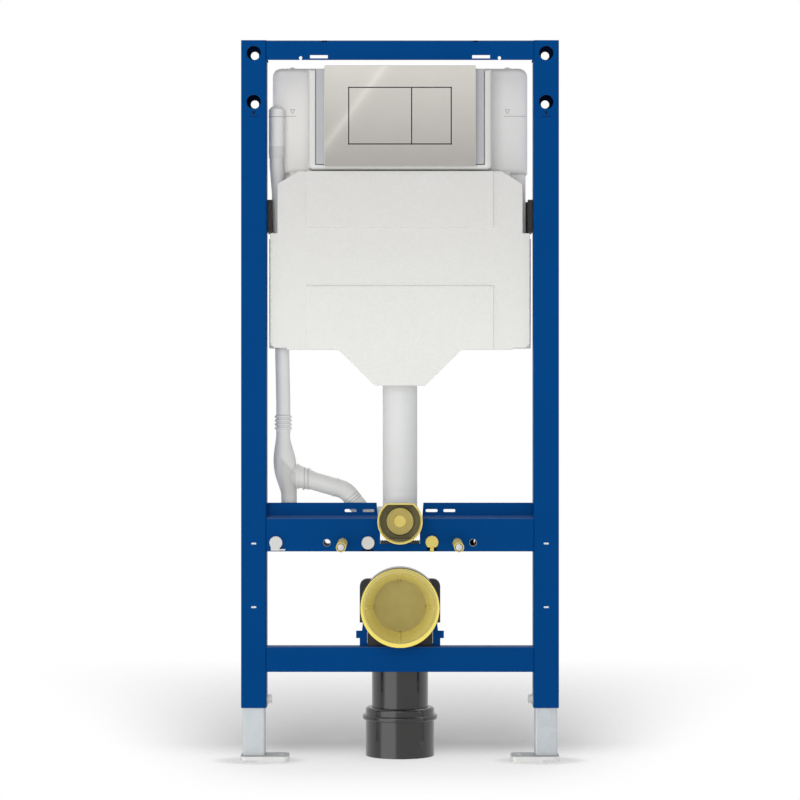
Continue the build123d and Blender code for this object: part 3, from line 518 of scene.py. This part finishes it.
def threaded_rod(name, x, z, start, end):
    """A rod along Y with a real helical thread between two chamfered ends."""
    turns = math.floor((end - start - 2 * rod_chamfer) / rod_pitch) - 1
    first = start + (end - start - (turns + 1) * rod_pitch) / 2
    root = rod_radius - rod_thread_depth
    bpy.ops.object.select_all(action="DESELECT")
    bpy.ops.mesh.primitive_circle_add(vertices=4, radius=rod_pitch / 4, location=(0, 0, 0))
    rod = bpy.context.active_object
    rod.name = name
    bpy.ops.object.mode_set(mode="EDIT")
    bpy.ops.mesh.select_all(action="SELECT")
    bpy.ops.mesh.delete(type="EDGE_FACE")
    bpy.ops.object.mode_set(mode="OBJECT")
    profile = rod.data
    places = [(root, 0), (rod_radius, crest[0]), (rod_radius, crest[1]), (root, 1.0)]
    for vertex, (reach, share) in zip(profile.vertices, places):
        vertex.co = (reach, 0, share * rod_pitch)
    profile.edges.add(len(places) - 1)
    for index, edge in enumerate(profile.edges):
        edge.vertices = (index, index + 1)
    profile.update()
    helix = rod.modifiers.new("helix", "SCREW")
    helix.axis = "Z"
    helix.angle = math.tau
    helix.screw_offset = rod_pitch
    helix.iterations = turns
    helix.steps = rod_steps
    helix.render_steps = rod_steps
    helix.use_merge_vertices = True
    helix.merge_threshold = weld_distance
    bpy.ops.object.modifier_apply(modifier=helix.name)
    bpy.ops.object.mode_set(mode="EDIT")
    bpy.ops.mesh.select_all(action="SELECT")
    bpy.ops.mesh.remove_doubles(threshold=2 * weld_distance)
    bpy.ops.mesh.normals_make_consistent(inside=False)
    bpy.ops.object.mode_set(mode="OBJECT")
    core_length = end - start
    overlap = 0.00004
    bpy.ops.object.select_all(action="DESELECT")
    bpy.ops.mesh.primitive_cylinder_add(
        vertices=36,
        radius=root + overlap,
        depth=core_length,
        location=(0, 0, core_length / 2 - (first - start)),
    )
    core = bpy.context.active_object
    bpy.ops.object.mode_set(mode="EDIT")
    bpy.ops.mesh.select_all(action="DESELECT")
    bpy.ops.object.mode_set(mode="OBJECT")
    for face in core.data.polygons:
        face.select = abs(face.normal.z) > 0.9
    bpy.ops.object.mode_set(mode="EDIT")
    bpy.ops.mesh.bevel(offset=rod_end_bevel, segments=2, affect="EDGES")
    bpy.ops.object.mode_set(mode="OBJECT")
    rod.select_set(True)
    bpy.context.view_layer.objects.active = rod
    bpy.ops.object.join()
    rod.rotation_euler = (math.radians(-90), 0, 0)
    rod.location = (x, first, z)
    settle(rod, 40)
    return rod


rod_zinc = zinc_skin("zinc_plated_rod", linear(224, 225, 226), linear(206, 207, 208), 0.4)
for side in ("left", "right"):
    low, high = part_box(f"{side}_stud")
    rod = threaded_rod(
        f"{side}_threaded_rod", (low.x + high.x) / 2, (low.z + high.z) / 2, low.y, high.y
    )
    finish_with(rod, rod_zinc)
    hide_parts(f"{side}_stud")
    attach(rod, "frame")

# Yellow plastic sleeves keep the rods clean while the wall is built, and a yellow knob locks the
# rail's plug. All yellow pieces are moulded polyethylene, a little waxy and translucent.


def yellow_skin():
    yellow = Recipe("yellow_polyethylene")
    waxy = yellow.noise(45.0, 3.0)
    grain = yellow.noise(1500.0, 2.0)
    return yellow.skin(
        {
            "Base Color": yellow.mix(waxy, linear(212, 193, 98), linear(221, 203, 112)),
            "Roughness": 0.36 + 0.12 * yellow.noise(160.0, 3.0),
            "Subsurface Weight": 0.12,
            "Subsurface Radius": (0.004, 0.003, 0.0008),
            "Subsurface Scale": 1.0,
        },
        height=grain,
        depth=0.00006,
        strength=0.3,
    )


yellow = yellow_skin()
for node in ("left_stud_sleeve", "right_stud_sleeve", "yellow_knob"):
    finish_with(dressed(node, edge=0.0003), yellow)

# Beside the knob's stem, and under the grey button, a thin near-black plate with eased edges is let
# into the rail's face: painted shade of the shallow recess beside the stem, and a painted shadow
# under the button. The two small dark notches in the top rail's upper edge are painted shade too.
shade_plate_depth = 0.0006
notch_shade_x = 0.119
notch_shade_drop = 0.0016
notch_shade_length = 0.0084
notch_shade_height = 0.0022


def shade_plate_skin():
    """Near black and dull: painted shade that reads as a hollow."""
    black = Recipe("painted_shade_plate")
    return black.skin(
        {
            "Base Color": black.mix(black.noise(300.0, 2.0), linear(10, 11, 16), linear(16, 17, 24)),
            "Roughness": 0.6 + 0.1 * black.noise(900.0, 2.0),
            "Specular IOR Level": 0.1,
        }
    )


recess_shade_black = shade_plate_skin()
rail_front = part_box("middle_rail")[0].y
top_low, top_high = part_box("top_rail")
notch_shade_place = (top_low.y, top_high.z - notch_shade_drop, notch_shade_length, notch_shade_height)
for name, x, y, z, width, height in (
    ("knob_recess_shade", 0.0502, rail_front, 0.3355, 0.0164, 0.0054),
    ("button_shadow", -0.0508, rail_front, 0.3333, 0.0196, 0.0022),
    ("left_notch_shade", -notch_shade_x, *notch_shade_place),
    ("right_notch_shade", notch_shade_x, *notch_shade_place),
):
    bpy.ops.object.select_all(action="DESELECT")
    bpy.ops.mesh.primitive_cube_add(size=1, location=(x, y, z))
    shade_piece = bpy.context.active_object
    shade_piece.name = name
    shade_piece.scale = (width, shade_plate_depth, height)
    bpy.ops.object.transform_apply(location=True, rotation=True, scale=True)
    bpy.ops.object.mode_set(mode="EDIT")
    bpy.ops.mesh.select_all(action="SELECT")
    bpy.ops.mesh.bevel(offset=shade_plate_depth / 4, segments=2, affect="EDGES")
    bpy.ops.object.mode_set(mode="OBJECT")
    settle(shade_piece)
    finish_with(shade_piece, recess_shade_black)
    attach(shade_piece, "frame")

# Grey push-in plugs close the rail's spare holes. They are moulded in a soft grey plastic with a
# fine grain, and their rims snap in behind the sheet.


def grey_skin(name, pale, dark, roughness):
    """Soft grey plastic in two tones, clouded and finely grained."""
    grey = Recipe(name)
    cloud = grey.noise(22.0, 3.0)
    grain = grey.noise(1300.0, 3.0)
    return grey.skin(
        {
            "Base Color": grey.mix(cloud, pale, dark),
            "Roughness": roughness + 0.1 * grey.noise(140.0, 3.0),
            "Specular IOR Level": 0.35,
        },
        height=grain,
        depth=0.00007,
        strength=0.35,
    )


plug_grey = grey_skin("grey_plug_plastic", linear(214, 214, 212), linear(198, 199, 198), 0.4)
for node in ("grey_end_plug", "grey_button"):
    finish_with(dressed(node, edge=0.0004), plug_grey)

# The cistern is blow moulded from pale grey polyethylene. Its walls are slightly uneven and have the
# fine satin grain of the mould. From the block's face back to the shoulders they are painted paler,
# as painted light against the shade of that recess.
block_face = -0.01
shoulder_front = 0.037


def tank_skin():
    """Pale grey, with painted light that grows from the block's face back to the tank's shoulders.
    """
    tank = Recipe("cistern_polyethylene")
    swell = tank.noise(14.0, 2.0)
    grain = tank.noise(1100.0, 3.0)
    cloud = tank.noise(8.0, 4.0)
    # Painted light: the grey is painted paler the further back a face lies, up to the shoulders.
    recess_light = tank.between(tank.along("Y"), block_face, shoulder_front)
    shallow = tank.mix(cloud, linear(212, 213, 210), linear(206, 207, 204))
    recess_lit_grey = tank.mix(cloud, linear(237, 235, 232), linear(230, 229, 226))
    return tank.skin(
        {
            "Base Color": tank.mix(recess_light, shallow, recess_lit_grey),
            "Roughness": 0.42 + 0.12 * tank.noise(120.0, 3.0),
            "Specular IOR Level": 0.3,
        },
        height=swell + 0.06 * grain,
        depth=0.0012,
        strength=0.35,
    )


tank_plastic = tank_skin()
finish_with(dressed("cistern_tank", edge=0.0012, rings=3), tank_plastic)

# Two level marks are moulded on the tank's shoulders, to set the frame by: a fine line with a
# hollow triangle over it. Their raised edges look a little darker than the tank.
level_ink = Recipe("moulded_level_mark")
level_ink = level_ink.skin(
    {
        "Base Color": level_ink.mix(
            level_ink.noise(700.0, 2.0), linear(150, 152, 152), linear(166, 168, 168)
        ),
        "Roughness": 0.5 + 0.1 * level_ink.noise(300.0, 2.0),
    }
)
level_height = 1.0212
level_line_from = 0.1655
level_line_to = 0.2005
level_line_height = 0.0008
level_arrow_x = 0.171
level_arrow_z = level_height + 0.0085
level_arrow_radius = 0.0048
for side, sign in (("left", -1), ("right", 1)):
    line = printed_line(
        f"{side}_level_line",
        sign * (level_line_from + level_line_to) / 2,
        shoulder_front,
        level_height,
        level_line_to - level_line_from,
        level_line_height,
    )
    arrow = printed_triangle(
        f"{side}_level_arrow",
        sign * level_arrow_x,
        shoulder_front,
        level_arrow_z,
        level_arrow_radius,
        hollow=True,
    )
    for piece in (line, arrow):
        finish_with(piece, level_ink)
        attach(piece, "frame")

# The water inlet is a fitting turned from brass bar, with a hexagon to hold it by and a fine pipe
# thread at its end. Faint turned rings run round it.
inlet_thread_rise = 0.0003
inlet_thread_root = -0.0001
inlet_thread_half = 0.0007
inlet_pitch = 0.0018
inlet_radius = 0.0105
inlet_turns = 6
inlet_steps = 32
inlet_lead = 0.0012


def brass_skin():
    """Bare brass with the fine rings of the lathe, which lie across the fitting's length."""
    brass = Recipe("turned_brass")
    turned = brass.add("Mapping", {}, {"Vector": brass.place(), "Scale": (0.02, 1, 0.02)})
    rings = brass.noise(900.0, 2.0, turned)
    return brass.skin(
        {
            "Base Color": brass.mix(brass.noise(60.0), linear(214, 182, 112), linear(190, 154, 84)),
            "Metallic": 1.0,
            "Roughness": 0.26 + 0.12 * rings,
        },
        height=rings,
        depth=0.00005,
        strength=0.3,
    )


brass = brass_skin()
finish_with(dressed("water_inlet", edge=0.0005), brass)
low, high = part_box("water_inlet")
inlet_centre = (low + high) / 2
bpy.ops.object.select_all(action="DESELECT")
bpy.ops.mesh.primitive_circle_add(vertices=3, radius=inlet_thread_rise, location=(0, 0, 0))
inlet_thread = bpy.context.active_object
inlet_thread.name = "water_inlet_thread"
thread_profile = (
    (inlet_thread_root, -inlet_thread_half),
    (inlet_thread_rise, 0),
    (inlet_thread_root, inlet_thread_half),
)
for vertex, (reach, rise) in zip(inlet_thread.data.vertices, thread_profile):
    vertex.co = (inlet_radius + reach, 0, rise)
helix = inlet_thread.modifiers.new("helix", "SCREW")
helix.angle = math.tau
helix.screw_offset = inlet_pitch
helix.iterations = inlet_turns
helix.steps = inlet_steps
helix.render_steps = inlet_steps
bpy.ops.object.modifier_apply(modifier=helix.name)
bpy.ops.object.mode_set(mode="EDIT")
bpy.ops.mesh.select_mode(type="EDGE")
bpy.ops.mesh.select_all(action="DESELECT")
bpy.ops.mesh.select_non_manifold()
bpy.ops.mesh.edge_face_add()
bpy.ops.mesh.select_all(action="SELECT")
bpy.ops.mesh.normals_make_consistent(inside=False)
bpy.ops.object.mode_set(mode="OBJECT")
inlet_thread.rotation_euler = (math.radians(90), 0, 0)
inlet_thread.location = (inlet_centre.x, high.y - inlet_lead, inlet_centre.z)
settle(inlet_thread, 40)
finish_with(inlet_thread, brass)
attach(inlet_thread, "frame")

# The insulation cover is moulded from white bead foam: soft edges, and the beads show as a fine
# pattern of cells over the whole face. It is a little greyer towards its top.
bead_size = 0.0034
foam_fade = (0.62, 0.95)


def foam_skin():
    """White foam: each bead is a small pillow with a tone of its own."""
    foam = Recipe("white_bead_foam")
    point = foam.place()
    cells = {"Vector": point, "Scale": 1 / bead_size}
    rims = foam.add("TexVoronoi", {"feature": "DISTANCE_TO_EDGE"}, cells, out="Distance")
    tone = foam.add("TexVoronoi", {}, cells, out="Color")
    tone = foam.add("SeparateColor", {}, {"Color": tone}, out=0)
    pillow = foam.between(rims, 0.0, 0.22)
    mixed = 0.3 * tone + 0.4 * foam.noise(7.0, 4.0)
    upper = foam.between(foam.along("Z"), *foam_fade)
    pale = foam.mix(upper, linear(227, 227, 224), linear(211, 210, 208))
    dull = foam.mix(upper, linear(219, 219, 216), linear(202, 201, 199))
    return foam.skin(
        {
            "Base Color": foam.mix(mixed, pale, dull),
            "Roughness": 0.72 + 0.12 * tone,
            "Specular IOR Level": 0.2,
        },
        height=pillow + 0.3 * foam.noise(1800.0, 2.0),
        depth=0.00022,
        strength=0.5,
    )


finish_with(dressed("insulation_cover", edge=0.0011, rings=3), foam_skin())

# Black glass-filled clips hook the cistern to the uprights and carry the pipes. Their moulded
# faces have a fine spark-eroded grain.
cloud_lift = 8


def black_skin(name, tone, roughness, gloss=0.0, sheen=0.3):
    """Black plastic in a grey tone, with a clear glossy surface over it or none."""
    black = Recipe(name)
    grain = black.noise(1500.0, 3.0)
    pale = tone + cloud_lift
    dark = linear(tone, tone, tone - 1)
    return black.skin(
        {
            "Base Color": black.mix(black.noise(30.0, 3.0), dark, linear(pale, pale, pale - 2)),
            "Roughness": roughness + 0.12 * black.noise(90.0, 3.0),
            "Specular IOR Level": sheen,
            "Coat Weight": gloss,
            "Coat Roughness": 0.05,
            "Coat IOR": 1.8,
        },
        height=grain,
        depth=0.00007,
        strength=0.35,
    )


clip_black = black_skin("black_clip_plastic", 48, 0.42)
for node in ("left_cistern_clip", "right_cistern_clip", "flush_bend_clip", "waste_holder"):
    finish_with(dressed(node, edge=0.0005), clip_black)

# The plate's back frame sits in the tank's front, and the plate and its two keys stand over it.
# The frame is satin grey plastic. The plate and keys have a bright metallised gloss.
plate_centre = 1.015
gap_shade_side = (0.0812, 0.0816)
gap_shade_top = (0.0452, 0.0456)


def backing_skin():
    """Satin grey, and painted near black behind the keys' gaps, as painted shade."""
    backing = Recipe("plate_frame_plastic")
    # Painted shade: behind the keys' gaps the frame is painted near black.
    beside = backing.between(abs(backing.along("X")), *gap_shade_side)
    above = backing.between(abs(backing.along("Z") - plate_centre), *gap_shade_top)
    gap_shade = (1 - beside) * (1 - above)
    satin = backing.mix(backing.noise(22.0, 3.0), linear(180, 181, 184), linear(174, 175, 179))
    return backing.skin(
        {
            "Base Color": backing.mix(gap_shade, satin, linear(16, 16, 17)),
            "Roughness": 0.32 + 0.1 * backing.noise(140.0, 3.0),
            "Specular IOR Level": 0.3,
        },
        height=backing.noise(1300.0, 3.0),
        depth=0.00006,
        strength=0.3,
    )


finish_with(dressed("plate_frame", edge=0.0006), backing_skin())

key_side = 0.08035
key_top = 0.04435
key_divide = 0.0183
groove_half = (0.0007, 0.001)
groove_end = (0.001, 0.0012)


def plate_skin():
    """Bright metal, painted dark along the keys' rounded edges beside the gaps: painted shade of the
    gaps and their painted reflection.
    """
    plate = Recipe("metallised_plate")
    fine = plate.noise(30.0, 2.0)
    x = plate.along("X")
    across = abs(x)
    up = abs(plate.along("Z") - plate_centre)
    # Painted shade and painted reflection: thin dark lines along the keys' gaps.
    within = 1 - plate.between(across - key_side, *groove_end)
    level = 1 - plate.between(up - key_top, *groove_end)
    sides = (1 - plate.between(abs(across - key_side), *groove_half)) * level
    middle = (1 - plate.between(abs(x - key_divide), *groove_half)) * level
    edges = (1 - plate.between(abs(up - key_top), *groove_half)) * within
    metal = plate.mix(fine, linear(226, 223, 218), linear(220, 217, 212))
    return plate.skin(
        {
            "Base Color": plate.mix(sides + middle + edges, metal, linear(58, 57, 55)),
            "Metallic": 0.9,
            "Roughness": 0.025 + 0.01 * plate.noise(500.0, 3.0),
        },
        height=plate.noise(900.0, 2.0),
        depth=0.000002,
        strength=0.1,
    )


plate_gloss = plate_skin()
for node in ("flush_plate", "full_flush_key", "half_flush_key"):
    finish_with(dressed(node), plate_gloss)

# The flush pipe and bend are light grey polyethylene pipe, with the dull gloss of extruded pipe.
# Faint lines run along it from the die.


def pipe_skin():
    """Light grey with the fine lines of the die, drawn out along the pipe."""
    pipe = Recipe("grey_pipe_plastic")
    drawn = pipe.add("Mapping", {}, {"Vector": pipe.place(), "Scale": (1.0, 1.0, 0.03)})
    lines = pipe.noise(500.0, 2.0, drawn)
    return pipe.skin(
        {
            "Base Color": pipe.mix(
                pipe.noise(12.0, 3.0), linear(222, 223, 222), linear(213, 214, 213)
            ),
            "Roughness": 0.34 + 0.1 * pipe.noise(80.0, 3.0),
            "Specular IOR Level": 0.4,
        },
        height=lines,
        depth=0.00006,
        strength=0.3,
    )


pipe_grey = pipe_skin()
for node in ("flush_pipe", "flush_bend"):
    finish_with(dressed(node, edge=0.0004), pipe_grey)

# A thin yellow plug protects each pipe's mouth. Its yellow is painted in rings of light and shade:
# the deep ring between the flush plug's hub and its rim is darkest, partly painted shade and partly
# the dark pipe behind the thin skin dulling the yellow.
plug_soft = 0.0006
flush_height = 0.38
flush_flat = 0.0262
# Painted shade: the flush plug's hub and deep ring are darker, its centre boss paler.
flush_bands = (
    (0.0095, (210, 191, 96)),
    (0.0208, (169, 152, 78)),
    (0.0318, (72, 67, 38)),
    (1, (222, 204, 112)),
)


def plug_skin(name, height, bands, flat=1.0, lift=0.0):
    """Yellow in rings round the pipe's axis, which paint light and shade: each band has its outer
    radius and its colour.

    Above the flat height the outermost colour takes over. A lift raises the inner edge of the
    outermost ring, which makes it wider below than above.
    """
    plug = Recipe(name)
    across = plug.along("X")
    up = plug.along("Z") - height
    lifted = up - lift
    reach = (across * across + up * up) ** 0.5
    lifted_reach = (across * across + lifted * lifted) ** 0.5
    waxy = plug.noise(60.0, 3.0)
    colour = linear(*bands[0][1])
    for (radius, _), (_, outer) in zip(bands, bands[1:]):
        measured = lifted_reach if outer == bands[-1][1] else reach
        edge = plug.between(measured, radius - plug_soft, radius + plug_soft)
        colour = plug.mix(edge, colour, linear(*outer))
    lip = plug.between(up, flat - plug_soft, flat + plug_soft)
    colour = plug.mix(lip, colour, linear(*bands[-1][1]))
    lighter = plug.mix(0.12, colour, linear(255, 246, 190))
    return plug.skin(
        {
            "Base Color": plug.mix(waxy, colour, lighter),
            "Roughness": 0.34 + 0.12 * plug.noise(150.0, 3.0),
            "Specular IOR Level": 0.35,
        },
        height=plug.noise(1400.0, 2.0),
        depth=0.00006,
        strength=0.3,
    )


flush_yellow = plug_skin("flush_plug_plastic", flush_height, flush_bands, flat=flush_flat)
finish_with(dressed("flush_plug", edge=0.0005), flush_yellow)

# The waste bend and its adapter are black polyethylene pipe, much glossier than the holder that
# carries them, and the socket's yellow plug is dished with a wide flange.
waste_height = 0.245
waste_lift = 0.0028
# Painted light and shade: the waste plug's cone is painted paler, its dished middle darker.
waste_bands = (
    (0.0415, (156, 142, 77)),
    (0.0538, (226, 212, 122)),
    (0.0584, (188, 173, 92)),
    (1, (238, 218, 98)),
)
waste_yellow = plug_skin("waste_plug_plastic", waste_height, waste_bands, lift=waste_lift)
finish_with(dressed("waste_plug", edge=0.0005), waste_yellow)
waste_black = black_skin("black_waste_plastic", 28, 0.16, gloss=0.6, sheen=0.6)
for node in ("waste_bend", "waste_adapter"):
    finish_with(dressed(node, edge=0.0005), waste_black)

# The air extraction line is light grey too: a capped riser, a short corrugated sleeve and a
# moulded branch that leads to the flush bend.
air_grey = grey_skin("air_line_plastic", linear(222, 222, 221), linear(212, 213, 212), 0.36)
for node in ("vent_pipe", "vent_bellows"):
    finish_with(dressed(node, edge=0.0004), air_grey)

# The branch piece is painted darker round its mouth, where it grips the tail, as painted shade. Fine
# moulded rings run round the tail just behind that mouth, upright, and slanting at its bend, where
# it dips behind the middle rail; their grooves are drawn as thin lines of painted shade.
mouth_left = (-0.192, -0.186)
mouth_right = (-0.1655, -0.1645)
mouth_low = (0.4, 0.425)
mouth_high = (0.286, 0.292)
tail_rings = (-0.1515, -0.1455)
bend_rings = (0.469, 0.474, 0.4805)
bend_slope = 0.82
bend_from = (-0.1, -0.095)
ring_half = (0.0003, 0.0009)


def branch_skin():
    """Light grey, with painted shade on a patch at the mouth and along the rings' grooves."""
    branch = Recipe("air_branch_plastic")
    x = branch.along("X")
    z = branch.along("Z")
    # Painted shade: a darker patch where the mouth grips the tail.
    mouth_shade = branch.between(x, *mouth_left) * (1 - branch.between(x, *mouth_right))
    mouth_shade = mouth_shade * branch.between(z, *mouth_low)
    mouth_shade = mouth_shade * (1 - branch.between(z + x, *mouth_high))
    # Painted shade: thin dark lines along the rings' grooves.
    rings = 0
    for place in tail_rings:
        rings = rings + (1 - branch.between(abs(x - place), *ring_half))
    slanted = z - bend_slope * x
    for place in bend_rings:
        line = 1 - branch.between(abs(slanted - place), *ring_half)
        rings = rings + line * branch.between(x, *bend_from)
    body = branch.mix(branch.noise(22.0, 3.0), linear(220, 220, 218), linear(210, 211, 209))
    body = branch.mix(mouth_shade, body, linear(194, 194, 192))
    return branch.skin(
        {
            "Base Color": branch.mix(rings, body, linear(168, 168, 166)),
            "Roughness": 0.38 + 0.1 * branch.noise(140.0, 3.0),
            "Specular IOR Level": 0.35,
        },
        height=branch.noise(1300.0, 3.0),
        depth=0.00007,
        strength=0.35,
    )


branch_grey = branch_skin()
for node in ("vent_tee", "vent_branch"):
    finish_with(dressed(node, edge=0.0004), branch_grey)

# The riser's cap is a soft pushed-on hood. A fine dark line runs round it at the level mark's
# height, and its lower end, which grips the pipe, is painted a little darker, as painted shade.
cap_line_height = 1.0182
cap_line_half = (0.0003, 0.0006)
cap_grip = (0.971, 0.972)


def cap_skin():
    """Nearly white, with a dark line at the level mark's height and painted shade on the grip below.
    """
    cap = Recipe("air_cap_plastic")
    up = cap.along("Z")
    cap_dark_line = 1 - cap.between(abs(up - cap_line_height), *cap_line_half)
    # Painted shade: the cap's lower end is painted a little darker.
    grip_shade = 1 - cap.between(up, *cap_grip)
    body = cap.mix(cap.noise(22.0, 3.0), linear(232, 232, 231), linear(224, 224, 222))
    body = cap.mix(grip_shade, body, linear(212, 212, 211))
    return cap.skin(
        {
            "Base Color": cap.mix(cap_dark_line, body, linear(150, 151, 150)),
            "Roughness": 0.38 + 0.1 * cap.noise(140.0, 3.0),
            "Specular IOR Level": 0.35,
        },
        height=cap.noise(1300.0, 3.0),
        depth=0.00007,
        strength=0.35,
    )


finish_with(dressed("vent_cap", edge=0.0004), cap_skin())

# The studio floor is white without an edge, and a soft grey pool of shade lies on it behind and
# under the frame, where it takes the object's own shadow too. The camera looks through its white
# part, and from below through all of it. Shiny faces look through it into the room around.
pool_front = -0.45
pool_rise = (0.02, 0.24)
pool_fall = (0.21, 1.66)
pool_core = 0.15
pool_half_width = 0.44
pool_spread = 0.28
pool_strength = 0.95
pool_tone = 0.72
foot_shade_x = 0.222
foot_shade_stretch = 0.7
foot_shade = (0.03, 0.06)
foot_shade_strength = 0.45


def floor_skin():
    """White light, and grey matt paint where the pool of shade and the feet's own shade lie."""
    floor = Recipe("studio_floor")
    y = floor.along("Y")
    width = pool_half_width + pool_spread * y
    pool = 1 - floor.between(abs(floor.along("X")), pool_core, width)
    rise = 0.5 * floor.between(y, pool_front, pool_rise[1]) + 0.5 * floor.between(y, *pool_rise)
    pool = pool * rise * (1 - floor.between(y, *pool_fall, "LINEAR"))
    beside = (abs(floor.along("X")) - foot_shade_x) * foot_shade_stretch
    near = (beside * beside + y * y) ** 0.5
    pool = 1 - (1 - pool) * (1 - foot_shade_strength * (1 - floor.between(near, *foot_shade)))
    seen = floor.add("LightPath", out="Is Camera Ray")
    shiny = floor.add("LightPath", out="Is Glossy Ray")
    below = floor.add("NewGeometry", out="Backfacing")
    matt = floor.add("BsdfDiffuse", {}, {"Color": (pool_tone, pool_tone, pool_tone, 1)})
    white = floor.add("Emission", {}, {"Color": (1, 1, 1, 1), "Strength": 1.0})
    clear = floor.add("BsdfTransparent")
    white = floor.add("MixShader", {}, {0: seen, 1: white, 2: clear})
    shade = pool_strength * pool * (1 - seen * below)
    shaded = floor.add("MixShader", {}, {0: shade, 1: white, 2: matt})
    floor.add_output(floor.add("MixShader", {}, {0: shiny, 1: shaded, 2: clear}))
    return floor.material


bpy.ops.object.select_all(action="DESELECT")
bpy.ops.mesh.primitive_plane_add(size=60, location=(0, 0, 0))
floor = bpy.context.active_object
floor.name = "studio_floor"
settle(floor)
floor.data.materials.append(floor_skin())

# Five large softboxes light the object: one in front, which shiny faces don't mirror, one over it,
# one on each side, and one above the back that draws a rim on the upper edges.


def soft_lamp(name, place, target, width, height, power, mirrored=True):
    """A softbox that lights the object. The camera never sees it; shiny faces may."""
    bpy.ops.object.light_add(type="AREA", location=place)
    lamp = bpy.context.active_object
    lamp.name = name
    lamp.data.shape = "RECTANGLE"
    lamp.data.size = width
    lamp.data.size_y = height
    lamp.data.energy = power
    aim = Vector(target) - Vector(place)
    lamp.rotation_euler = aim.to_track_quat("-Z", "Y").to_euler()
    lamp.visible_camera = False
    lamp.visible_glossy = mirrored


chest = (0, 0, 0.6)
soft_lamp("front_lamp", (-0.4, -4.1, 1.0), chest, 2.4, 2.0, 66, mirrored=False)
soft_lamp("top_lamp", (-0.9, -3.2, 3.2), chest, 2.6, 1.4, 14)
soft_lamp("left_lamp", (-3.0, -0.9, 1.5), chest, 1.4, 2.6, 20, mirrored=False)
soft_lamp("right_lamp", (3.0, -0.6, 1.4), chest, 1.2, 2.4, 12)
soft_lamp("back_top_lamp", (0.4, 2.2, 3.0), (0, 0.3, 0.6), 2.4, 1.2, 22)

# A graded card beside the camera gives the glossy plate its fall from light to dark and the thin
# bright streak that crosses it.
card_front = -4.6
card_bottom = 1.02
card_top = 1.9
card_half_width = 0.55
card_fall = (1.34, 1.65)
card_peak = 1.25
streak_x = -0.1618
streak_z = 1.5
streak_slope = 0.741
streak_half = (0.001, 0.012)
halo_half = (0.0, 0.05)
beyond_edge = (-0.03, 0.01)


def card_skin():
    """A warm white glow for shiny faces alone, from dull below to bright above."""
    card = Recipe("graded_card")
    z = card.along("Z")
    fall = card.between(z, *card_fall, "LINEAR")
    across = card.along("X") - streak_x - streak_slope * (z - streak_z)
    streak = 1 - card.between(abs(across), *streak_half)
    halo = 1 - card.between(abs(across), *halo_half)
    beyond = (1 - card.between(across, *beyond_edge)) * fall
    strength = 0.51 + 0.36 * fall + 0.26 * streak + 0.06 * halo + 0.05 * beyond
    share = strength * (1 / card_peak)
    tone = card.mix(share, (0, 0, 0, 1), (1, 0.99, 0.972, 1))
    glow = card.add("Emission", {}, {"Color": tone, "Strength": card_peak})
    clear = card.add("BsdfTransparent")
    ray = card.add("LightPath", out="Is Glossy Ray")
    card.add_output(card.add("MixShader", {}, {0: ray, 1: clear, 2: glow}))
    return card.material


bpy.ops.object.select_all(action="DESELECT")
bpy.ops.mesh.primitive_plane_add(
    size=1,
    location=(0, card_front, (card_bottom + card_top) / 2),
    rotation=(math.radians(90), 0, 0),
)
card = bpy.context.active_object
card.name = "graded_card"
card.scale = (2 * card_half_width, card_top - card_bottom, 1)
settle(card)
card.data.materials.append(card_skin())

# The room's own light is even, and the camera sees it as white. To shiny faces it is dimmer, most
# so behind the camera, which keeps the blue deep. Only a tall bright window stands on the left
# there, and draws an upright stripe on each glossy pipe.
room_fill = 0.26
room_front = 0.45
room_back = 0.6
room_turn = (-0.3, 0.5)
window_strength = 0.75
window_left = (-0.94, -0.88)
window_right = (-0.27, -0.21)
window_end = (-0.3, -0.2)


def room_light():
    """White to the camera, and to shiny faces by direction: left to right, front to back."""
    room = Recipe("studio_light", bpy.data.worlds.new("studio_light"))
    looking = room.add("TexCoord", out="Generated")
    sideways = room.along("X", looking)
    heading = room.along("Y", looking)
    window = room.between(sideways, *window_left) * (1 - room.between(sideways, *window_right))
    window = window * (1 - room.between(heading, *window_end))
    mirrored = room_front + (room_back - room_front) * room.between(heading, *room_turn)
    mirrored = mirrored + window_strength * window
    seen = room.add("LightPath", out="Is Camera Ray")
    shiny = room.add("LightPath", out="Is Glossy Ray")
    through = room.add("LightPath", out="Is Transmission Ray")
    level = seen + shiny * mirrored + through + (1 - seen - shiny - through) * room_fill
    glow = room.add("Background", {}, {"Color": (1, 1, 1, 1), "Strength": level})
    room.add_output(glow, "World")
    return room.material


bpy.context.scene.world = room_light()
bpy.context.scene.view_settings.view_transform = "Standard"

# The camera stands level in front of the frame, a little over four metres away, as high as the
# middle of the uprights.
camera_distance = 4.32
camera_height = 0.5693
focal_length = 123.1
sensor_width = 36
bpy.ops.object.camera_add(
    location=(0, -camera_distance, camera_height), rotation=(math.radians(90), 0, 0)
)
camera = bpy.context.active_object
camera.name = "studio_camera"
camera.data.sensor_width = sensor_width
camera.data.lens = focal_length
bpy.context.scene.camera = camera
